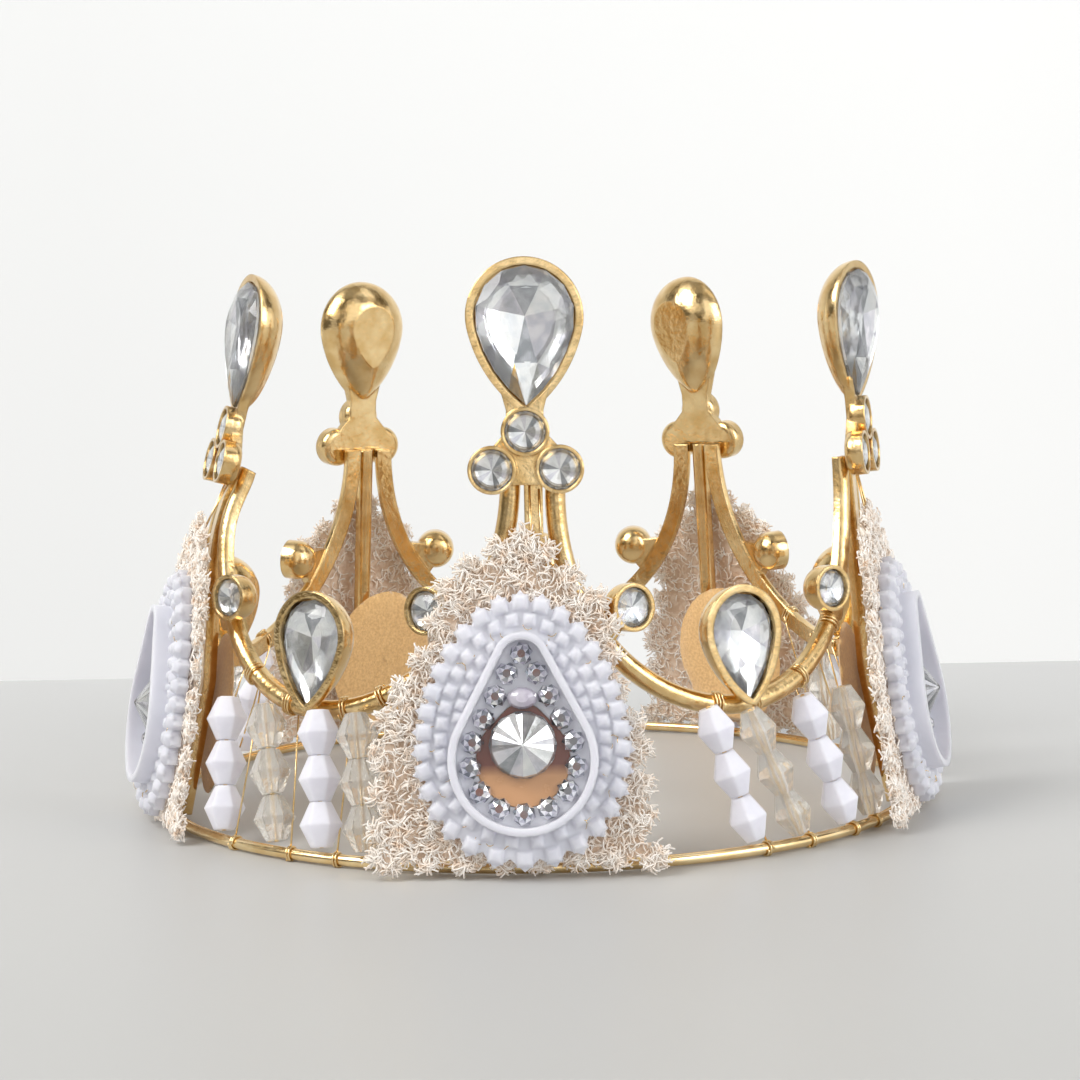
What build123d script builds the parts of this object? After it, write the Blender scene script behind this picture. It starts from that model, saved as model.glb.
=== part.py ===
from build123d import *
import os
from math import atan2, cos, hypot, radians, sin, sqrt, tan

# Small five-peaked pageant crown: gilt castings on a wire ring, dressed with stones, lace and beads.
# Millimetres, +Z up. The origin is the centre of the wire ring, on the face that the crown stands on.
# Azimuth 0 is the front peak, towards -Y, and azimuths grow towards +X.

# Whole crown
peak_count = 5
peak_step = 360 / peak_count
ring_radius = 55.0
ring_wire = 1.5

# Cone that the castings lie on, given by its radius at the valleys between the peaks
valley_height = 19.0
valley_radius = 49.3
cone_lean = 4.8

# Swag bars: half an ellipse from peak to peak, wrapped on the cone
bar_width = 2.6
bar_back = 1.0
bar_front = 1.0
bar_shoulder = -0.1
swag_height = 31.0
leg_spread = 3.6
swag_stations = 17
bend_height = 36.0

# Stem bars behind the lace, from the crest down to the ring
stem_width = 2.4
stem_knee_height = 19.5
stem_knee_radius = 12.0

# Crest castings
web_back = 1.1
web_thickness = 1.5
pair_height = 50.4
pair_spread = 4.3
top_cup_rise = 4.8
round_stone = 5.2
round_wall = 0.5
round_cup_depth = 2.7
round_cup_edge = 1.1
cup_floor = 1.3
seat_clearance = 0.05
web_corner = 1.9
neck_width = 4.8
neck_flare = 6.6
neck_overlap = 3.0

# Tall pear head of each crest
head_stone_width = 13.0
head_stone_height = 18.0
head_wall = 1.1
head_rise = 8.0
head_rim = 2.6
head_depth = 4.4
head_seat = 0.9
hinge_rise = 7.6

# How each peak has been bent by hand: the bars' tops inwards, the crest along, out and leant outwards,
# and the head's lean outwards, twist and tilt about its neck
bar_bends = [0, 0, 0, 0, 3.3]
crest_bends = [(-0.9, 0, 0), (0, 0, 0), (1.0, 0, 0), (0, 0, 0), (0, -2.75, -10)]
head_bends = [(0, 8, 0), (5, -14, 0), (0, -13, -8), (0, 0, 0), (6, 6, 0)]

# How each bay has been bent: the valley's azimuth, its cup's rise and tilt, and the scrolls' azimuths
valley_bends = [(-3.3, -0.4, 4.5), (0, -0.4, 0), (0, -0.4, 0), (0, -0.4, 0), (0, -0.4, -3.5)]
scroll_azimuths = [(-22.3, 18.4), (-20.4, 20.4), (-20.4, 20.4), (-20.4, 20.4), (-21.7, 20.4)]

# Short pear cup over each valley
valley_stone_width = 10.0
valley_stone_height = 14.0
valley_wall = 1.1
valley_rim = 3.0
valley_depth = 5.0
valley_seat = 1.6

# Cut stones: height of each level of facets and its share of the girdle outline
pear_levels = [(-0.75, 0.3), (-0.25, 0.9), (0, 1), (0.5, 1), (1.3, 0.8), (1.9, 0.5)]
pear_sides = 16
valley_cut_share = 0.8
round_levels = [(-0.4, 0.45), (0, 1), (0.3, 1), (0.95, 0.6)]
round_sides = 12
girdle_share = 0.985
seat_lift = 0.01

# Side scrolls: a round cup on a short arm from each leg
scroll_height = 32.6
scroll_turn = 18.0
scroll_stone = 5.1
scroll_wall = 0.6
scroll_rim = 2.4
scroll_depth = 4.4
scroll_seat = 1.3
scroll_ball = 2.8
scroll_arm = 1.2
scroll_arm_depth = 0.9
scroll_arm_feet = [(2.7, -3.6), (4.5, 0.4)]

# Share of a pear cup's outline left at each share of its depth, as a spoon's back
cup_depth_shares = [0, 0.35, 0.65, 0.88, 1]
cup_roundness = 0.86
cup_tip_round = 0.12
pear_tangent = 12.0

# Lace panels, flat and leaning out towards the foot
lace_foot_radius = 56.2
lace_lean = 9.8
lace_thickness = 1.6
lace_lobe_share = 0.28
lace_hole = 0.75
hem_lobes = 8
hem_rise = 0.7
hem_clear = 0.05
panel_shifts = [-1.9, 0, 0, 0, 0]
lace_notches = [
    (-19.3, 0.7),
    (-19.1, 3.9),
    (-18.7, 8.0),
    (-18.9, 12.8),
    (-18.4, 17.6),
    (-17.0, 22.2),
    (-14.6, 25.9),
    (-11.6, 29.8),
    (-11.0, 34.4),
    (-8.8, 38.2),
    (-4.7, 40.4),
    (-2.0, 43.0),
    (2.9, 42.8),
    (4.7, 39.4),
    (8.4, 36.6),
    (11.6, 33.2),
    (12.0, 29.4),
    (11.9, 25.6),
    (13.2, 21.2),
    (15.6, 17.6),
    (15.2, 13.0),
    (15.9, 9.0),
    (15.8, 4.8),
    (18.4, 0.7),
]

# Moulded medallions
medallion_gap = 0.1
plate_width = 26.4
plate_height = 33.8
plate_egg = 0.16
plate_centre = 18.2
plate_thickness = 2.2
tooth_count = 32
tooth_out = 0.7
tooth_in = 0.8
stud_rows = [(0.9, 2.1, 0.0), (3.0, 1.8, 0.5), (4.9, 1.6, 0.0)]
stud_height = 0.8
stud_taper = 30
rim_width = 18.7
rim_height = 25.3
rim_tip_radius = 3.6
rim_foot = 5.1
rim_wall = 0.95
rim_rise = 2.0
floor_thickness = 1.0
window_margin = 3.4
window_tip_height = 18.4
window_tip_radius = 6.6

# Stones glued inside the rim, and the plaque that shows between them
gem_count = 16
gem_size = 2.7
gem_sides = 6
gem_margin = 2.65
gem_levels = [(0, 1), (0.3, 1), (1.2, 0.45)]
rivoli_size = 8.6
rivoli_sides = 14
rivoli_centre = 16.35
rivoli_levels = [(0, 0.8), (1.3, 1), (4.0, 0.06)]
oval_width = 3.9
oval_height = 2.8
oval_centre = 22.2
oval_levels = [(0, 1), (1.0, 0.92), (1.7, 0.6)]
oval_sides = 10
plaque_clearance = 0.1

# Felt backing pads inside the crown
pad_width = 19.0
pad_height = 23.0
pad_thickness = 1.2
pad_centre = 15.0
pad_gap = 0.2
pad_shifts = [0, 0, -4.5, -3.0, 0]

# Bead strands between the ring and each swag: foot and head azimuths from the valley, and head height
bead_width = 5.6
bead_length = 5.85
bead_end = 2.8
bead_sides = 6
bead_bore = 1.0
strand_wire = 0.6
beads_per_strand = 3
strand_foot_radius = 55.4
strand_foot_height = 2.15
strand_head_radius = 51.8
even_strands = [(-12.0, -13.0, 19.5), (-4.0, -4.6, 19.5), (4.5, 3.4, 19.5), (12.5, 12.0, 19.5)]
bay_strands = [
    [(-5.8, -10.9, 19.5), (2.1, -3.8, 18.5), (11.9, 6.8, 19.5), (18.5, 17.0, 19.5)],
    even_strands,
    even_strands,
    even_strands,
    [(-14.0, -18.5, 19.5), (-2.5, -8.6, 19.5), (5.4, 2.4, 19.5), (12.3, 9.0, 19.5)],
]

half_step = peak_step / 2
lean = radians(cone_lean)
crest_height = valley_height + swag_height
swag_span = half_step - leg_spread
round_cup = round_stone / 2 + round_wall
scroll_cup = scroll_stone / 2 + scroll_wall
numbers = range(1, peak_count + 1)
os.makedirs("parts", exist_ok=True)


def peak_azimuth(number):
    """Azimuth of a numbered peak."""
    return peak_step * (number - 1)


def valley_azimuth(number):
    """Azimuth of the valley after a numbered peak."""
    return peak_step * (number - 1) + half_step


def cone_radius(height):
    """Radius of the castings' cone at a height."""
    return valley_radius - (height - valley_height) * tan(lean)


def cone_plane(azimuth, height, out=0.0):
    """Plane lying on the cone: x along the ring, y up the cone, z outwards."""
    around = radians(azimuth)
    outward = Vector(sin(around) * cos(lean), -cos(around) * cos(lean), sin(lean))
    along = Vector(cos(around), sin(around), 0)
    radius = cone_radius(height)
    foot = Vector(radius * sin(around), -radius * cos(around), height)
    return Plane(origin=foot + outward * out, x_dir=along, z_dir=outward)


def shifted(plane, x=0.0, y=0.0, z=0.0, lean_out=0.0, twist=0.0, tilt=0.0):
    """Plane moved in its own directions, then leant about its x, twisted about y and tilted about z."""
    return Plane(plane.location * Location((x, y, z), (lean_out, twist, tilt)))


def lace_plane(number, out=0.0):
    """Back face of a peak's lace, or a face that far in front of it: y runs up from the hem."""
    tilt = radians(lace_lean)
    turned = Plane.XY.rotated((0, 0, peak_azimuth(number)))
    front = Plane(
        origin=(0, -lace_foot_radius, 0),
        x_dir=(1, 0, 0),
        z_dir=(0, -cos(tilt), sin(tilt)),
    )
    placed = Plane(turned.location * front.location)
    return shifted(placed, x=panel_shifts[number - 1], z=out)


def pear_line(width, height):
    """Pear outline about the centre of its round end, with the tip down."""
    end = width / 2
    turn = radians(pear_tangent)
    touch = (end * cos(turn), -end * sin(turn))
    tip = (0, end - height)
    head = ThreePointArc(touch, (0, end), (-touch[0], touch[1]))
    side = TangentArc(head @ 1, tip, tangent=head % 1)
    mirror(side, about=Plane.YZ)


def pear_polygon(width, height, count):
    """Corners evenly spaced round a pear outline, the first at its tip."""
    with BuildLine() as outline:
        pear_line(width, height)
    wire = outline.wires()[0]
    spots = [wire.position_at(step / count) for step in range(count)]
    tip = min(range(count), key=lambda step: spots[step].Y)
    return [(spot.X, spot.Y) for spot in spots[tip:] + spots[:tip]]


def faceted(corners, levels):
    """Cut stone: one polygon at each level's height, shrunk about the origin by its share."""
    with BuildPart() as stone:
        for height, share in levels:
            with BuildSketch(Plane.XY.offset(height)):
                with BuildLine():
                    Polyline(*[(x * share, y * share) for x, y in corners], close=True)
                make_face()
        loft(ruled=True)
    return stone.part


def regular_polygon(radius, sides):
    """Corners of a regular polygon."""
    turns = [radians(360 * (side + 0.5) / sides) for side in range(sides)]
    return [(radius * cos(turn), radius * sin(turn)) for turn in turns]


def pear_cup(width, height, rim, depth, seat_width, seat_height, seat):
    """Spoon-backed pear cup about its round end's centre, with a flat seat cut in for the stone."""
    with BuildPart() as cup:
        for share in cup_depth_shares:
            left = sqrt(1 - (cup_roundness * share) ** 2)
            with BuildSketch(Plane.XY.offset(rim - depth * share)) as section:
                with BuildLine():
                    pear_line(width * left, height * left)
                make_face()
                tip = section.vertices().sort_by(Axis.Y)[0]
                fillet(tip, radius=width * left * cup_tip_round)
        loft()
        with BuildSketch(Plane.XY.offset(rim - seat)) as pocket:
            with BuildLine():
                pear_line(seat_width, seat_height)
            make_face()
        extrude(amount=seat, mode=Mode.SUBTRACT)
    return cup.part


def round_cup_solid(cup_radius, rim, depth, edge, seat_radius, seat):
    """Round bezel with a rounded back and a flat seat for its stone."""
    with BuildPart() as cup:
        with BuildSketch(Plane.XY.offset(rim)):
            Circle(cup_radius)
        extrude(amount=-depth)
        fillet(cup.faces().sort_by(Axis.Z)[0].edges(), radius=edge)
        with BuildSketch(Plane.XY.offset(rim)):
            Circle(seat_radius)
        extrude(amount=-seat, mode=Mode.SUBTRACT)
    return cup.part


def bar_line(width):
    """Half-round bar section: flat back, domed front, y outwards."""
    back = Polyline(
        (-width / 2, bar_shoulder),
        (-width / 2, -bar_back),
        (width / 2, -bar_back),
        (width / 2, bar_shoulder),
    )
    ThreePointArc(back @ 1, (0, bar_front), back @ 0)


def bend_share(height):
    """Share of a bar's inward bend that is reached at a height, growing from the bend's start."""
    return max(0, (height - bend_height) / (crest_height - bend_height)) ** 2


def swag_spot(number, turn):
    """Plane on the cone at a bay's swag, its valley near azimuth 0, turn running 0 to 180 degrees."""
    angle = radians(turn)
    azimuth = valley_bends[number - 1][0] * sin(angle) - swag_span * cos(angle)
    height = crest_height - swag_height * sin(angle)
    bend = bar_bends[number - 1] if turn < 90 else bar_bends[number % peak_count]
    return cone_plane(azimuth, height, -bend * bend_share(height))


def swag_plane(number, turn):
    """Plane across a bay's swag bar at a station: x across the bar, y outwards."""
    step = 0.05
    here = swag_spot(number, turn)
    along = (swag_spot(number, turn + step).origin - swag_spot(number, turn - step).origin).normalized()
    return Plane(origin=here.origin, x_dir=here.z_dir.cross(along), z_dir=along)


# Wire ring that the crown stands on
with BuildPart() as base_ring:
    with BuildSketch(Plane.XZ):
        with Locations((ring_radius, ring_wire / 2)):
            Circle(ring_wire / 2)
    revolve(axis=Axis.Z)
base_ring.part.label = "base_ring"
export_step(base_ring.part, "parts/base_ring.step")

# Scroll cup and pear cup of a bay, modelled about their own centres
scroll = round_cup_solid(
    scroll_cup,
    scroll_rim,
    scroll_depth,
    scroll_ball,
    scroll_stone / 2 + seat_clearance,
    scroll_seat,
)
valley_cup = pear_cup(
    valley_stone_width + 2 * valley_wall,
    valley_stone_height + 2 * valley_wall,
    valley_rim,
    valley_depth,
    valley_stone_width + 2 * seat_clearance,
    valley_stone_height + 2 * seat_clearance,
    valley_seat,
)
valley_centre_rise = valley_stone_height + valley_wall - valley_stone_width / 2


def valley_plane(number):
    """Plane of a bay's pear cup, with the bay's middle at azimuth 0, tilted about the cup's tip."""
    azimuth, rise, tilt = valley_bends[number - 1]
    tip = shifted(cone_plane(azimuth, valley_height + rise), tilt=tilt)
    return shifted(tip, y=valley_centre_rise)


def scroll_plane(number, side):
    """Plane of a bay's left or right scroll cup, turned a little towards the valley."""
    azimuth = scroll_azimuths[number - 1][side > 0]
    return shifted(cone_plane(azimuth, scroll_height), twist=-side * scroll_turn)


# One casting a bay: swag bar, pear cup, and two scroll cups on webs from the bar
for number in numbers:
    with BuildPart() as bay:
        for station in range(swag_stations):
            with BuildSketch(swag_plane(number, 180 * station / (swag_stations - 1))):
                with BuildLine():
                    bar_line(bar_width)
                make_face()
        loft()
        for side, azimuth in zip((-1, 1), scroll_azimuths[number - 1]):
            with BuildSketch(cone_plane(azimuth, scroll_height, -scroll_arm_depth)):
                with BuildSketch(mode=Mode.PRIVATE) as corners:
                    with Locations((0, 0), *[(side * x, y) for x, y in scroll_arm_feet]):
                        Circle(scroll_arm)
                make_hull(corners.edges())
            extrude(amount=2 * scroll_arm_depth)
            add(scroll_plane(number, side).location * scroll)
            with BuildSketch(scroll_plane(number, side).offset(scroll_rim)):
                Circle(scroll_stone / 2 + seat_clearance)
            extrude(amount=-scroll_seat, mode=Mode.SUBTRACT)
        add(valley_plane(number).location * valley_cup)
    with BuildPart(Plane.XY.rotated((0, 0, valley_azimuth(number)))) as scallop:
        add(bay.part)
    scallop.part.label = f"scallop_{number}"
    export_step(scallop.part, f"parts/scallop_{number}.step")

# Stem bars: straight down behind the lace, then out to the ring
stem_turn_radius = cone_radius(stem_knee_height)
stem_end_radius = ring_radius - ring_wire / 2 - bar_back
bend_middle = (bend_height + crest_height) / 2
for number in numbers:
    around = Plane.XZ.rotated((0, 0, peak_azimuth(number) - 90))
    bend = bar_bends[number - 1]
    stem_top = (cone_radius(crest_height) - bend * cos(lean), crest_height - bend * sin(lean))
    with BuildPart() as stem_rod:
        with BuildLine(around):
            Bezier(
                stem_top,
                (cone_radius(bend_middle), bend_middle),
                (cone_radius(bend_height), bend_height),
            )
            FilletPolyline(
                (cone_radius(bend_height), bend_height),
                (stem_turn_radius, stem_knee_height),
                (stem_end_radius, ring_wire / 2),
                radius=stem_knee_radius,
            )
        start = cone_plane(peak_azimuth(number), crest_height, -bend)
        way = cone_plane(peak_azimuth(number), bend_middle).origin - start.origin
        with BuildSketch(Plane(origin=start.origin, x_dir=-start.x_dir, z_dir=way)):
            with BuildLine():
                bar_line(stem_width)
            make_face()
        sweep()
    stem_rod.part.label = f"stem_rod_{number}"
    export_step(stem_rod.part, f"parts/stem_rod_{number}.step")

# Crest castings, each with its head bent its own way about the neck
pair_cup = round_cup_solid(
    round_cup,
    round_cup_depth,
    round_cup_depth,
    round_cup_edge,
    round_stone / 2 + seat_clearance,
    round_cup_depth - cup_floor,
)
head_cup = pear_cup(
    head_stone_width + 2 * head_wall,
    head_stone_height + 2 * head_wall,
    head_rim,
    head_depth,
    head_stone_width + 2 * seat_clearance,
    head_stone_height + 2 * seat_clearance,
    head_seat,
)
head_end = head_stone_width / 2
head_centre_rise = head_rise + head_stone_height - head_end
cup_places = [(-pair_spread, 0), (pair_spread, 0), (0, top_cup_rise)]


def crest_plane(number):
    """Cluster plane of a peak's crest: origin midway between its lower pair of cups."""
    along, out, lean_out = crest_bends[number - 1]
    return shifted(cone_plane(peak_azimuth(number), pair_height), x=along, z=out, lean_out=lean_out)


def head_plane(number):
    """Plane of a crest's pear head, bent about the neck."""
    lean_out, twist, tilt = head_bends[number - 1]
    neck = shifted(crest_plane(number), y=hinge_rise, z=web_back)
    hinge = shifted(neck, lean_out=lean_out, twist=twist, tilt=tilt)
    return shifted(hinge, y=head_centre_rise - hinge_rise, z=-web_back)


with BuildPart() as cluster:
    with BuildSketch(Plane.XY.offset(web_back)):
        with BuildSketch(mode=Mode.PRIVATE) as corners:
            with Locations(*cup_places):
                Circle(web_corner)
        make_hull(corners.edges())
        with BuildLine():
            Polyline(
                (-neck_width / 2, top_cup_rise),
                (-neck_width / 2, hinge_rise),
                (-neck_flare / 2, head_rise + neck_overlap),
                (neck_flare / 2, head_rise + neck_overlap),
                (neck_width / 2, hinge_rise),
                (neck_width / 2, top_cup_rise),
                close=True,
            )
        make_face()
    extrude(amount=web_thickness)
    with Locations(*[(x, y, web_back) for x, y in cup_places]):
        add(pair_cup)
    with BuildSketch(Plane.XY.offset(web_back + round_cup_depth)):
        with Locations(*cup_places):
            Circle(round_stone / 2 + seat_clearance)
    extrude(amount=-(round_cup_depth - cup_floor), mode=Mode.SUBTRACT)

for number in numbers:
    with BuildPart() as crest:
        add(crest_plane(number).location * cluster.part)
        add(head_plane(number).location * head_cup)
        with BuildSketch(head_plane(number).offset(head_rim - head_seat)):
            with BuildLine():
                pear_line(head_stone_width + 2 * seat_clearance, head_stone_height + 2 * seat_clearance)
            make_face()
        extrude(amount=head_seat + web_thickness, mode=Mode.SUBTRACT)
    crest.part.label = f"crest_{number}"
    export_step(crest.part, f"parts/crest_{number}.step")

# Cut stones, each modelled about its own centre with its girdle at height 0
head_cut = faceted(
    pear_polygon(head_stone_width * girdle_share, head_stone_height * girdle_share, pear_sides),
    pear_levels,
)
valley_levels = [(height * valley_cut_share, share) for height, share in pear_levels]
valley_cut = faceted(
    pear_polygon(valley_stone_width * girdle_share, valley_stone_height * girdle_share, pear_sides),
    valley_levels,
)
crest_cut = faceted(regular_polygon(round_stone / 2, round_sides), round_levels)
scroll_cut = faceted(regular_polygon(scroll_stone / 2, round_sides), round_levels)
head_girdle = head_rim - head_seat + seat_lift - pear_levels[0][0]
valley_girdle = valley_rim - valley_seat + seat_lift - valley_levels[0][0]
crest_girdle = web_back + cup_floor + seat_lift - round_levels[0][0]
scroll_girdle = scroll_rim - scroll_seat + seat_lift - round_levels[0][0]

for number in numbers:
    with BuildPart() as crest_pear_stone:
        add(head_plane(number).offset(head_girdle).location * head_cut)
    crest_pear_stone.part.label = f"crest_pear_stone_{number}"
    export_step(crest_pear_stone.part, f"parts/crest_pear_stone_{number}.step")

    with BuildPart(Plane.XY.rotated((0, 0, valley_azimuth(number)))) as valley_pear_stone:
        add(valley_plane(number).offset(valley_girdle).location * valley_cut)
    valley_pear_stone.part.label = f"valley_pear_stone_{number}"
    export_step(valley_pear_stone.part, f"parts/valley_pear_stone_{number}.step")

with BuildPart() as crest_round_stones:
    for number in numbers:
        for x, y in cup_places:
            add(shifted(crest_plane(number), x=x, y=y, z=crest_girdle).location * crest_cut)
crest_round_stones.part.label = "crest_round_stones"
export_step(crest_round_stones.part, "parts/crest_round_stones.step")

with BuildPart() as scroll_stones:
    for number in numbers:
        turned = Plane.XY.rotated((0, 0, valley_azimuth(number)))
        for side in (-1, 1):
            girdle_plane = scroll_plane(number, side).offset(scroll_girdle)
            add(turned.location * girdle_plane.location * scroll_cut)
scroll_stones.part.label = "scroll_stones"
export_step(scroll_stones.part, "parts/scroll_stones.step")

# Lace panel in its own plane: lobed outline with an eyelet in each lobe and a scalloped hem
hem_left = lace_notches[0]
hem_right = lace_notches[-1]
hem_pitch = (hem_right[0] - hem_left[0]) / hem_lobes
eyelets = []
with BuildPart() as lace_master:
    with BuildSketch():
        with BuildLine():
            for start, end in zip(lace_notches, lace_notches[1:]):
                chord = hypot(end[0] - start[0], end[1] - start[1])
                lobe = SagittaArc(start, end, lace_lobe_share * chord)
                crown_point = lobe @ 0.5
                middle = (Vector(*start) + Vector(*end)) / 2
                eyelets.append(middle * 0.9 + Vector(crown_point.X, crown_point.Y) * 0.1)
            for lobe in range(hem_lobes):
                start = (hem_right[0] - lobe * hem_pitch, hem_rise)
                end = (start[0] - hem_pitch, hem_rise)
                SagittaArc(start, end, hem_rise - hem_clear)
        make_face()
        with Locations(*eyelets):
            RegularPolygon(lace_hole, 6, mode=Mode.SUBTRACT)
    extrude(amount=lace_thickness)

# Medallion in its own plane: toothed plate, stud rows, pear rim and a window behind the stones
rim_low = rim_foot + rim_width / 2
rim_high = rim_foot + rim_height - rim_tip_radius


def egg_point(turn, inset):
    """Point on the plate's egg outline in a direction from its centre, moved in by an inset."""
    half_width = plate_width / 2 - inset
    half_height = plate_height / 2 - inset
    angle = atan2(half_width * sin(radians(turn)), half_height * cos(radians(turn)))
    across = half_width * cos(angle) * (1 - plate_egg * sin(angle))
    return Vector(across, plate_centre + half_height * sin(angle))


def rounded_pear(inset, tip_height, tip_radius):
    """Face of a pear with a rounded tip, moved in from the rim's outside by an inset."""
    with BuildSketch() as face:
        with BuildSketch(mode=Mode.PRIVATE) as ends:
            with Locations((0, rim_low)):
                Circle(rim_width / 2 - inset)
            with Locations((0, tip_height)):
                Circle(tip_radius - inset)
        make_hull(ends.edges())
    return face.sketch


def rim_face(inset):
    """Face of the pear rim, moved in from its outside by an inset."""
    return rounded_pear(inset, rim_high, rim_tip_radius)


def window_face(inset):
    """Face of the window behind the middle stone, moved in from its edge by an inset."""
    return rounded_pear(window_margin + inset, window_tip_height, window_tip_radius)


def stud_places(inset, start):
    """Locations of one row of studs outside the pear rim, each facing the plate's centre."""
    rim = rim_face(0).faces()[0]
    places = []
    for step in range(tooth_count):
        turn = 360 * (step + start) / tooth_count
        spot = egg_point(turn, inset)
        if not rim.is_inside(spot):
            places.append(Location((spot.X, spot.Y), turn))
    return places


with BuildPart() as medallion_master:
    with BuildSketch():
        with BuildLine():
            teeth = [
                egg_point(180 * step / tooth_count, tooth_in if step % 2 else -tooth_out)
                for step in range(2 * tooth_count)
            ]
            Polyline(*teeth, close=True)
        make_face()
    extrude(amount=plate_thickness - stud_height)
    for inset, size, start in stud_rows:
        with BuildSketch(Plane.XY.offset(plate_thickness - stud_height)):
            with Locations(*stud_places(inset, start)):
                Rectangle(size, size)
        extrude(amount=stud_height, taper=stud_taper)
    with BuildSketch():
        add(rim_face(0))
    extrude(amount=plate_thickness + rim_rise)
    with BuildSketch(Plane.XY.offset(floor_thickness)):
        add(rim_face(rim_wall))
    extrude(amount=plate_thickness + rim_rise - floor_thickness, mode=Mode.SUBTRACT)
    with BuildSketch():
        add(window_face(0))
    extrude(amount=floor_thickness, mode=Mode.SUBTRACT)

# Stones of one medallion: a ring of small ones, a conical one in the middle and an oval above it
gem_cut = faceted(regular_polygon(gem_size / 2, gem_sides), gem_levels)
rivoli_cut = faceted(regular_polygon(rivoli_size / 2, rivoli_sides), rivoli_levels)
oval_cut = faceted(
    [(x * oval_width, y * oval_height) for x, y in regular_polygon(0.5, oval_sides)], oval_levels
)
gem_wire = rim_face(gem_margin).wires()[0]
gem_spots = [gem_wire.position_at(step / gem_count) for step in range(gem_count)]

with BuildPart() as gem_master:
    for spot in gem_spots:
        add(Location((spot.X, spot.Y, floor_thickness + seat_lift)) * gem_cut)
    add(Location((0, rivoli_centre, floor_thickness + seat_lift)) * rivoli_cut)
    add(Location((0, oval_centre, floor_thickness + seat_lift)) * oval_cut)

medallion_back = lace_thickness + medallion_gap
for number in numbers:
    with BuildPart() as lace:
        add(lace_plane(number).location * lace_master.part)
    lace.part.label = f"lace_{number}"
    export_step(lace.part, f"parts/lace_{number}.step")

    with BuildPart() as medallion_frame:
        add(lace_plane(number, medallion_back).location * medallion_master.part)
    medallion_frame.part.label = f"medallion_frame_{number}"
    export_step(medallion_frame.part, f"parts/medallion_frame_{number}.step")

    with BuildPart() as medallion_gems:
        add(lace_plane(number, medallion_back).location * gem_master.part)
    medallion_gems.part.label = f"medallion_gems_{number}"
    export_step(medallion_gems.part, f"parts/medallion_gems_{number}.step")

with BuildPart() as peach_plaques:
    for number in numbers:
        with BuildSketch(lace_plane(number, medallion_back)):
            add(window_face(plaque_clearance))
        extrude(amount=floor_thickness - plaque_clearance)
peach_plaques.part.label = "peach_plaques"
export_step(peach_plaques.part, "parts/peach_plaques.step")


# Felt pads inside the crown, parallel to the lace and just behind each stem's knee
def pad_plane(number):
    """Plane of a pad's front face, its origin at the pad's centre."""
    tilt = radians(lace_lean)
    turned = Plane.XY.rotated((0, 0, peak_azimuth(number)))
    knee = Plane(
        origin=(0, pad_gap + bar_back - stem_turn_radius, stem_knee_height),
        x_dir=(1, 0, 0),
        z_dir=(0, -cos(tilt), sin(tilt)),
    )
    placed = Plane(turned.location * knee.location)
    return shifted(placed, x=pad_shifts[number - 1], y=(pad_centre - stem_knee_height) / cos(tilt))


for number in numbers:
    with BuildPart() as backing_pad:
        with BuildSketch(pad_plane(number)):
            Ellipse(pad_width / 2, pad_height / 2)
        extrude(amount=-pad_thickness)
    backing_pad.part.label = f"backing_pad_{number}"
    export_step(backing_pad.part, f"parts/backing_pad_{number}.step")


# Bead strands, white and clear in turn, on wires from the ring to the front of each swag
def round_point(azimuth, radius, height):
    """Point at an azimuth, a radius from the crown's axis and a height."""
    return Vector(radius * sin(radians(azimuth)), -radius * cos(radians(azimuth)), height)


def strand_ends(number, strand):
    """Foot and head of a strand's axis."""
    foot_azimuth, head_azimuth, head_height = bay_strands[number - 1][strand]
    valley = valley_azimuth(number)
    foot = round_point(valley + foot_azimuth, strand_foot_radius, strand_foot_height)
    head = round_point(valley + head_azimuth, strand_head_radius, head_height)
    return foot, head


end_share = bead_end / bead_width
with BuildPart() as bead_master:
    add(
        faceted(
            regular_polygon(bead_width / 2, bead_sides),
            [(-bead_length / 2, end_share), (0, 1), (bead_length / 2, end_share)],
        )
    )
    with BuildSketch(Plane.XY.offset(-bead_length / 2)):
        RegularPolygon(bead_bore / 2, bead_sides)
    extrude(amount=bead_length, mode=Mode.SUBTRACT)


def bay_beads(number, strands):
    """Beads on the given strands of a bay, evenly spaced from foot to head."""
    with BuildPart() as beads:
        for strand in strands:
            foot, head = strand_ends(number, strand)
            for bead in range(beads_per_strand):
                centre = foot + (head - foot) * ((bead + 0.5) / beads_per_strand)
                add(Plane(origin=centre, z_dir=head - foot).location * bead_master.part)
    return beads.part


for number in numbers:
    with BuildPart() as white_beads:
        add(bay_beads(number, (0, 2)))
    white_beads.part.label = f"white_beads_{number}"
    export_step(white_beads.part, f"parts/white_beads_{number}.step")

    with BuildPart() as clear_beads:
        add(bay_beads(number, (1, 3)))
    clear_beads.part.label = f"clear_beads_{number}"
    export_step(clear_beads.part, f"parts/clear_beads_{number}.step")

with BuildPart() as strand_wires:
    for number in numbers:
        for strand in range(len(bay_strands[number - 1])):
            foot, head = strand_ends(number, strand)
            with BuildSketch(Plane(origin=foot, z_dir=head - foot)):
                RegularPolygon(strand_wire / 2, bead_sides)
            extrude(amount=(head - foot).length)
strand_wires.part.label = "strand_wires"
export_step(strand_wires.part, "parts/strand_wires.step")
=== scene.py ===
# %% [markdown]
# # A small five-peaked pageant crown
# The real object is a little gilt crown: castings soldered to a wire ring, set with cut stones, and
# dressed by hand with lace, milky plastic medallions and short strings of beads. Its metal already has
# the right shape in the frame, so this lesson spends its effort on finishes, cut stones, lace and wire.

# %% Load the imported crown
import math

import bpy
import numpy as np
from mathutils import Matrix, Vector


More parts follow.
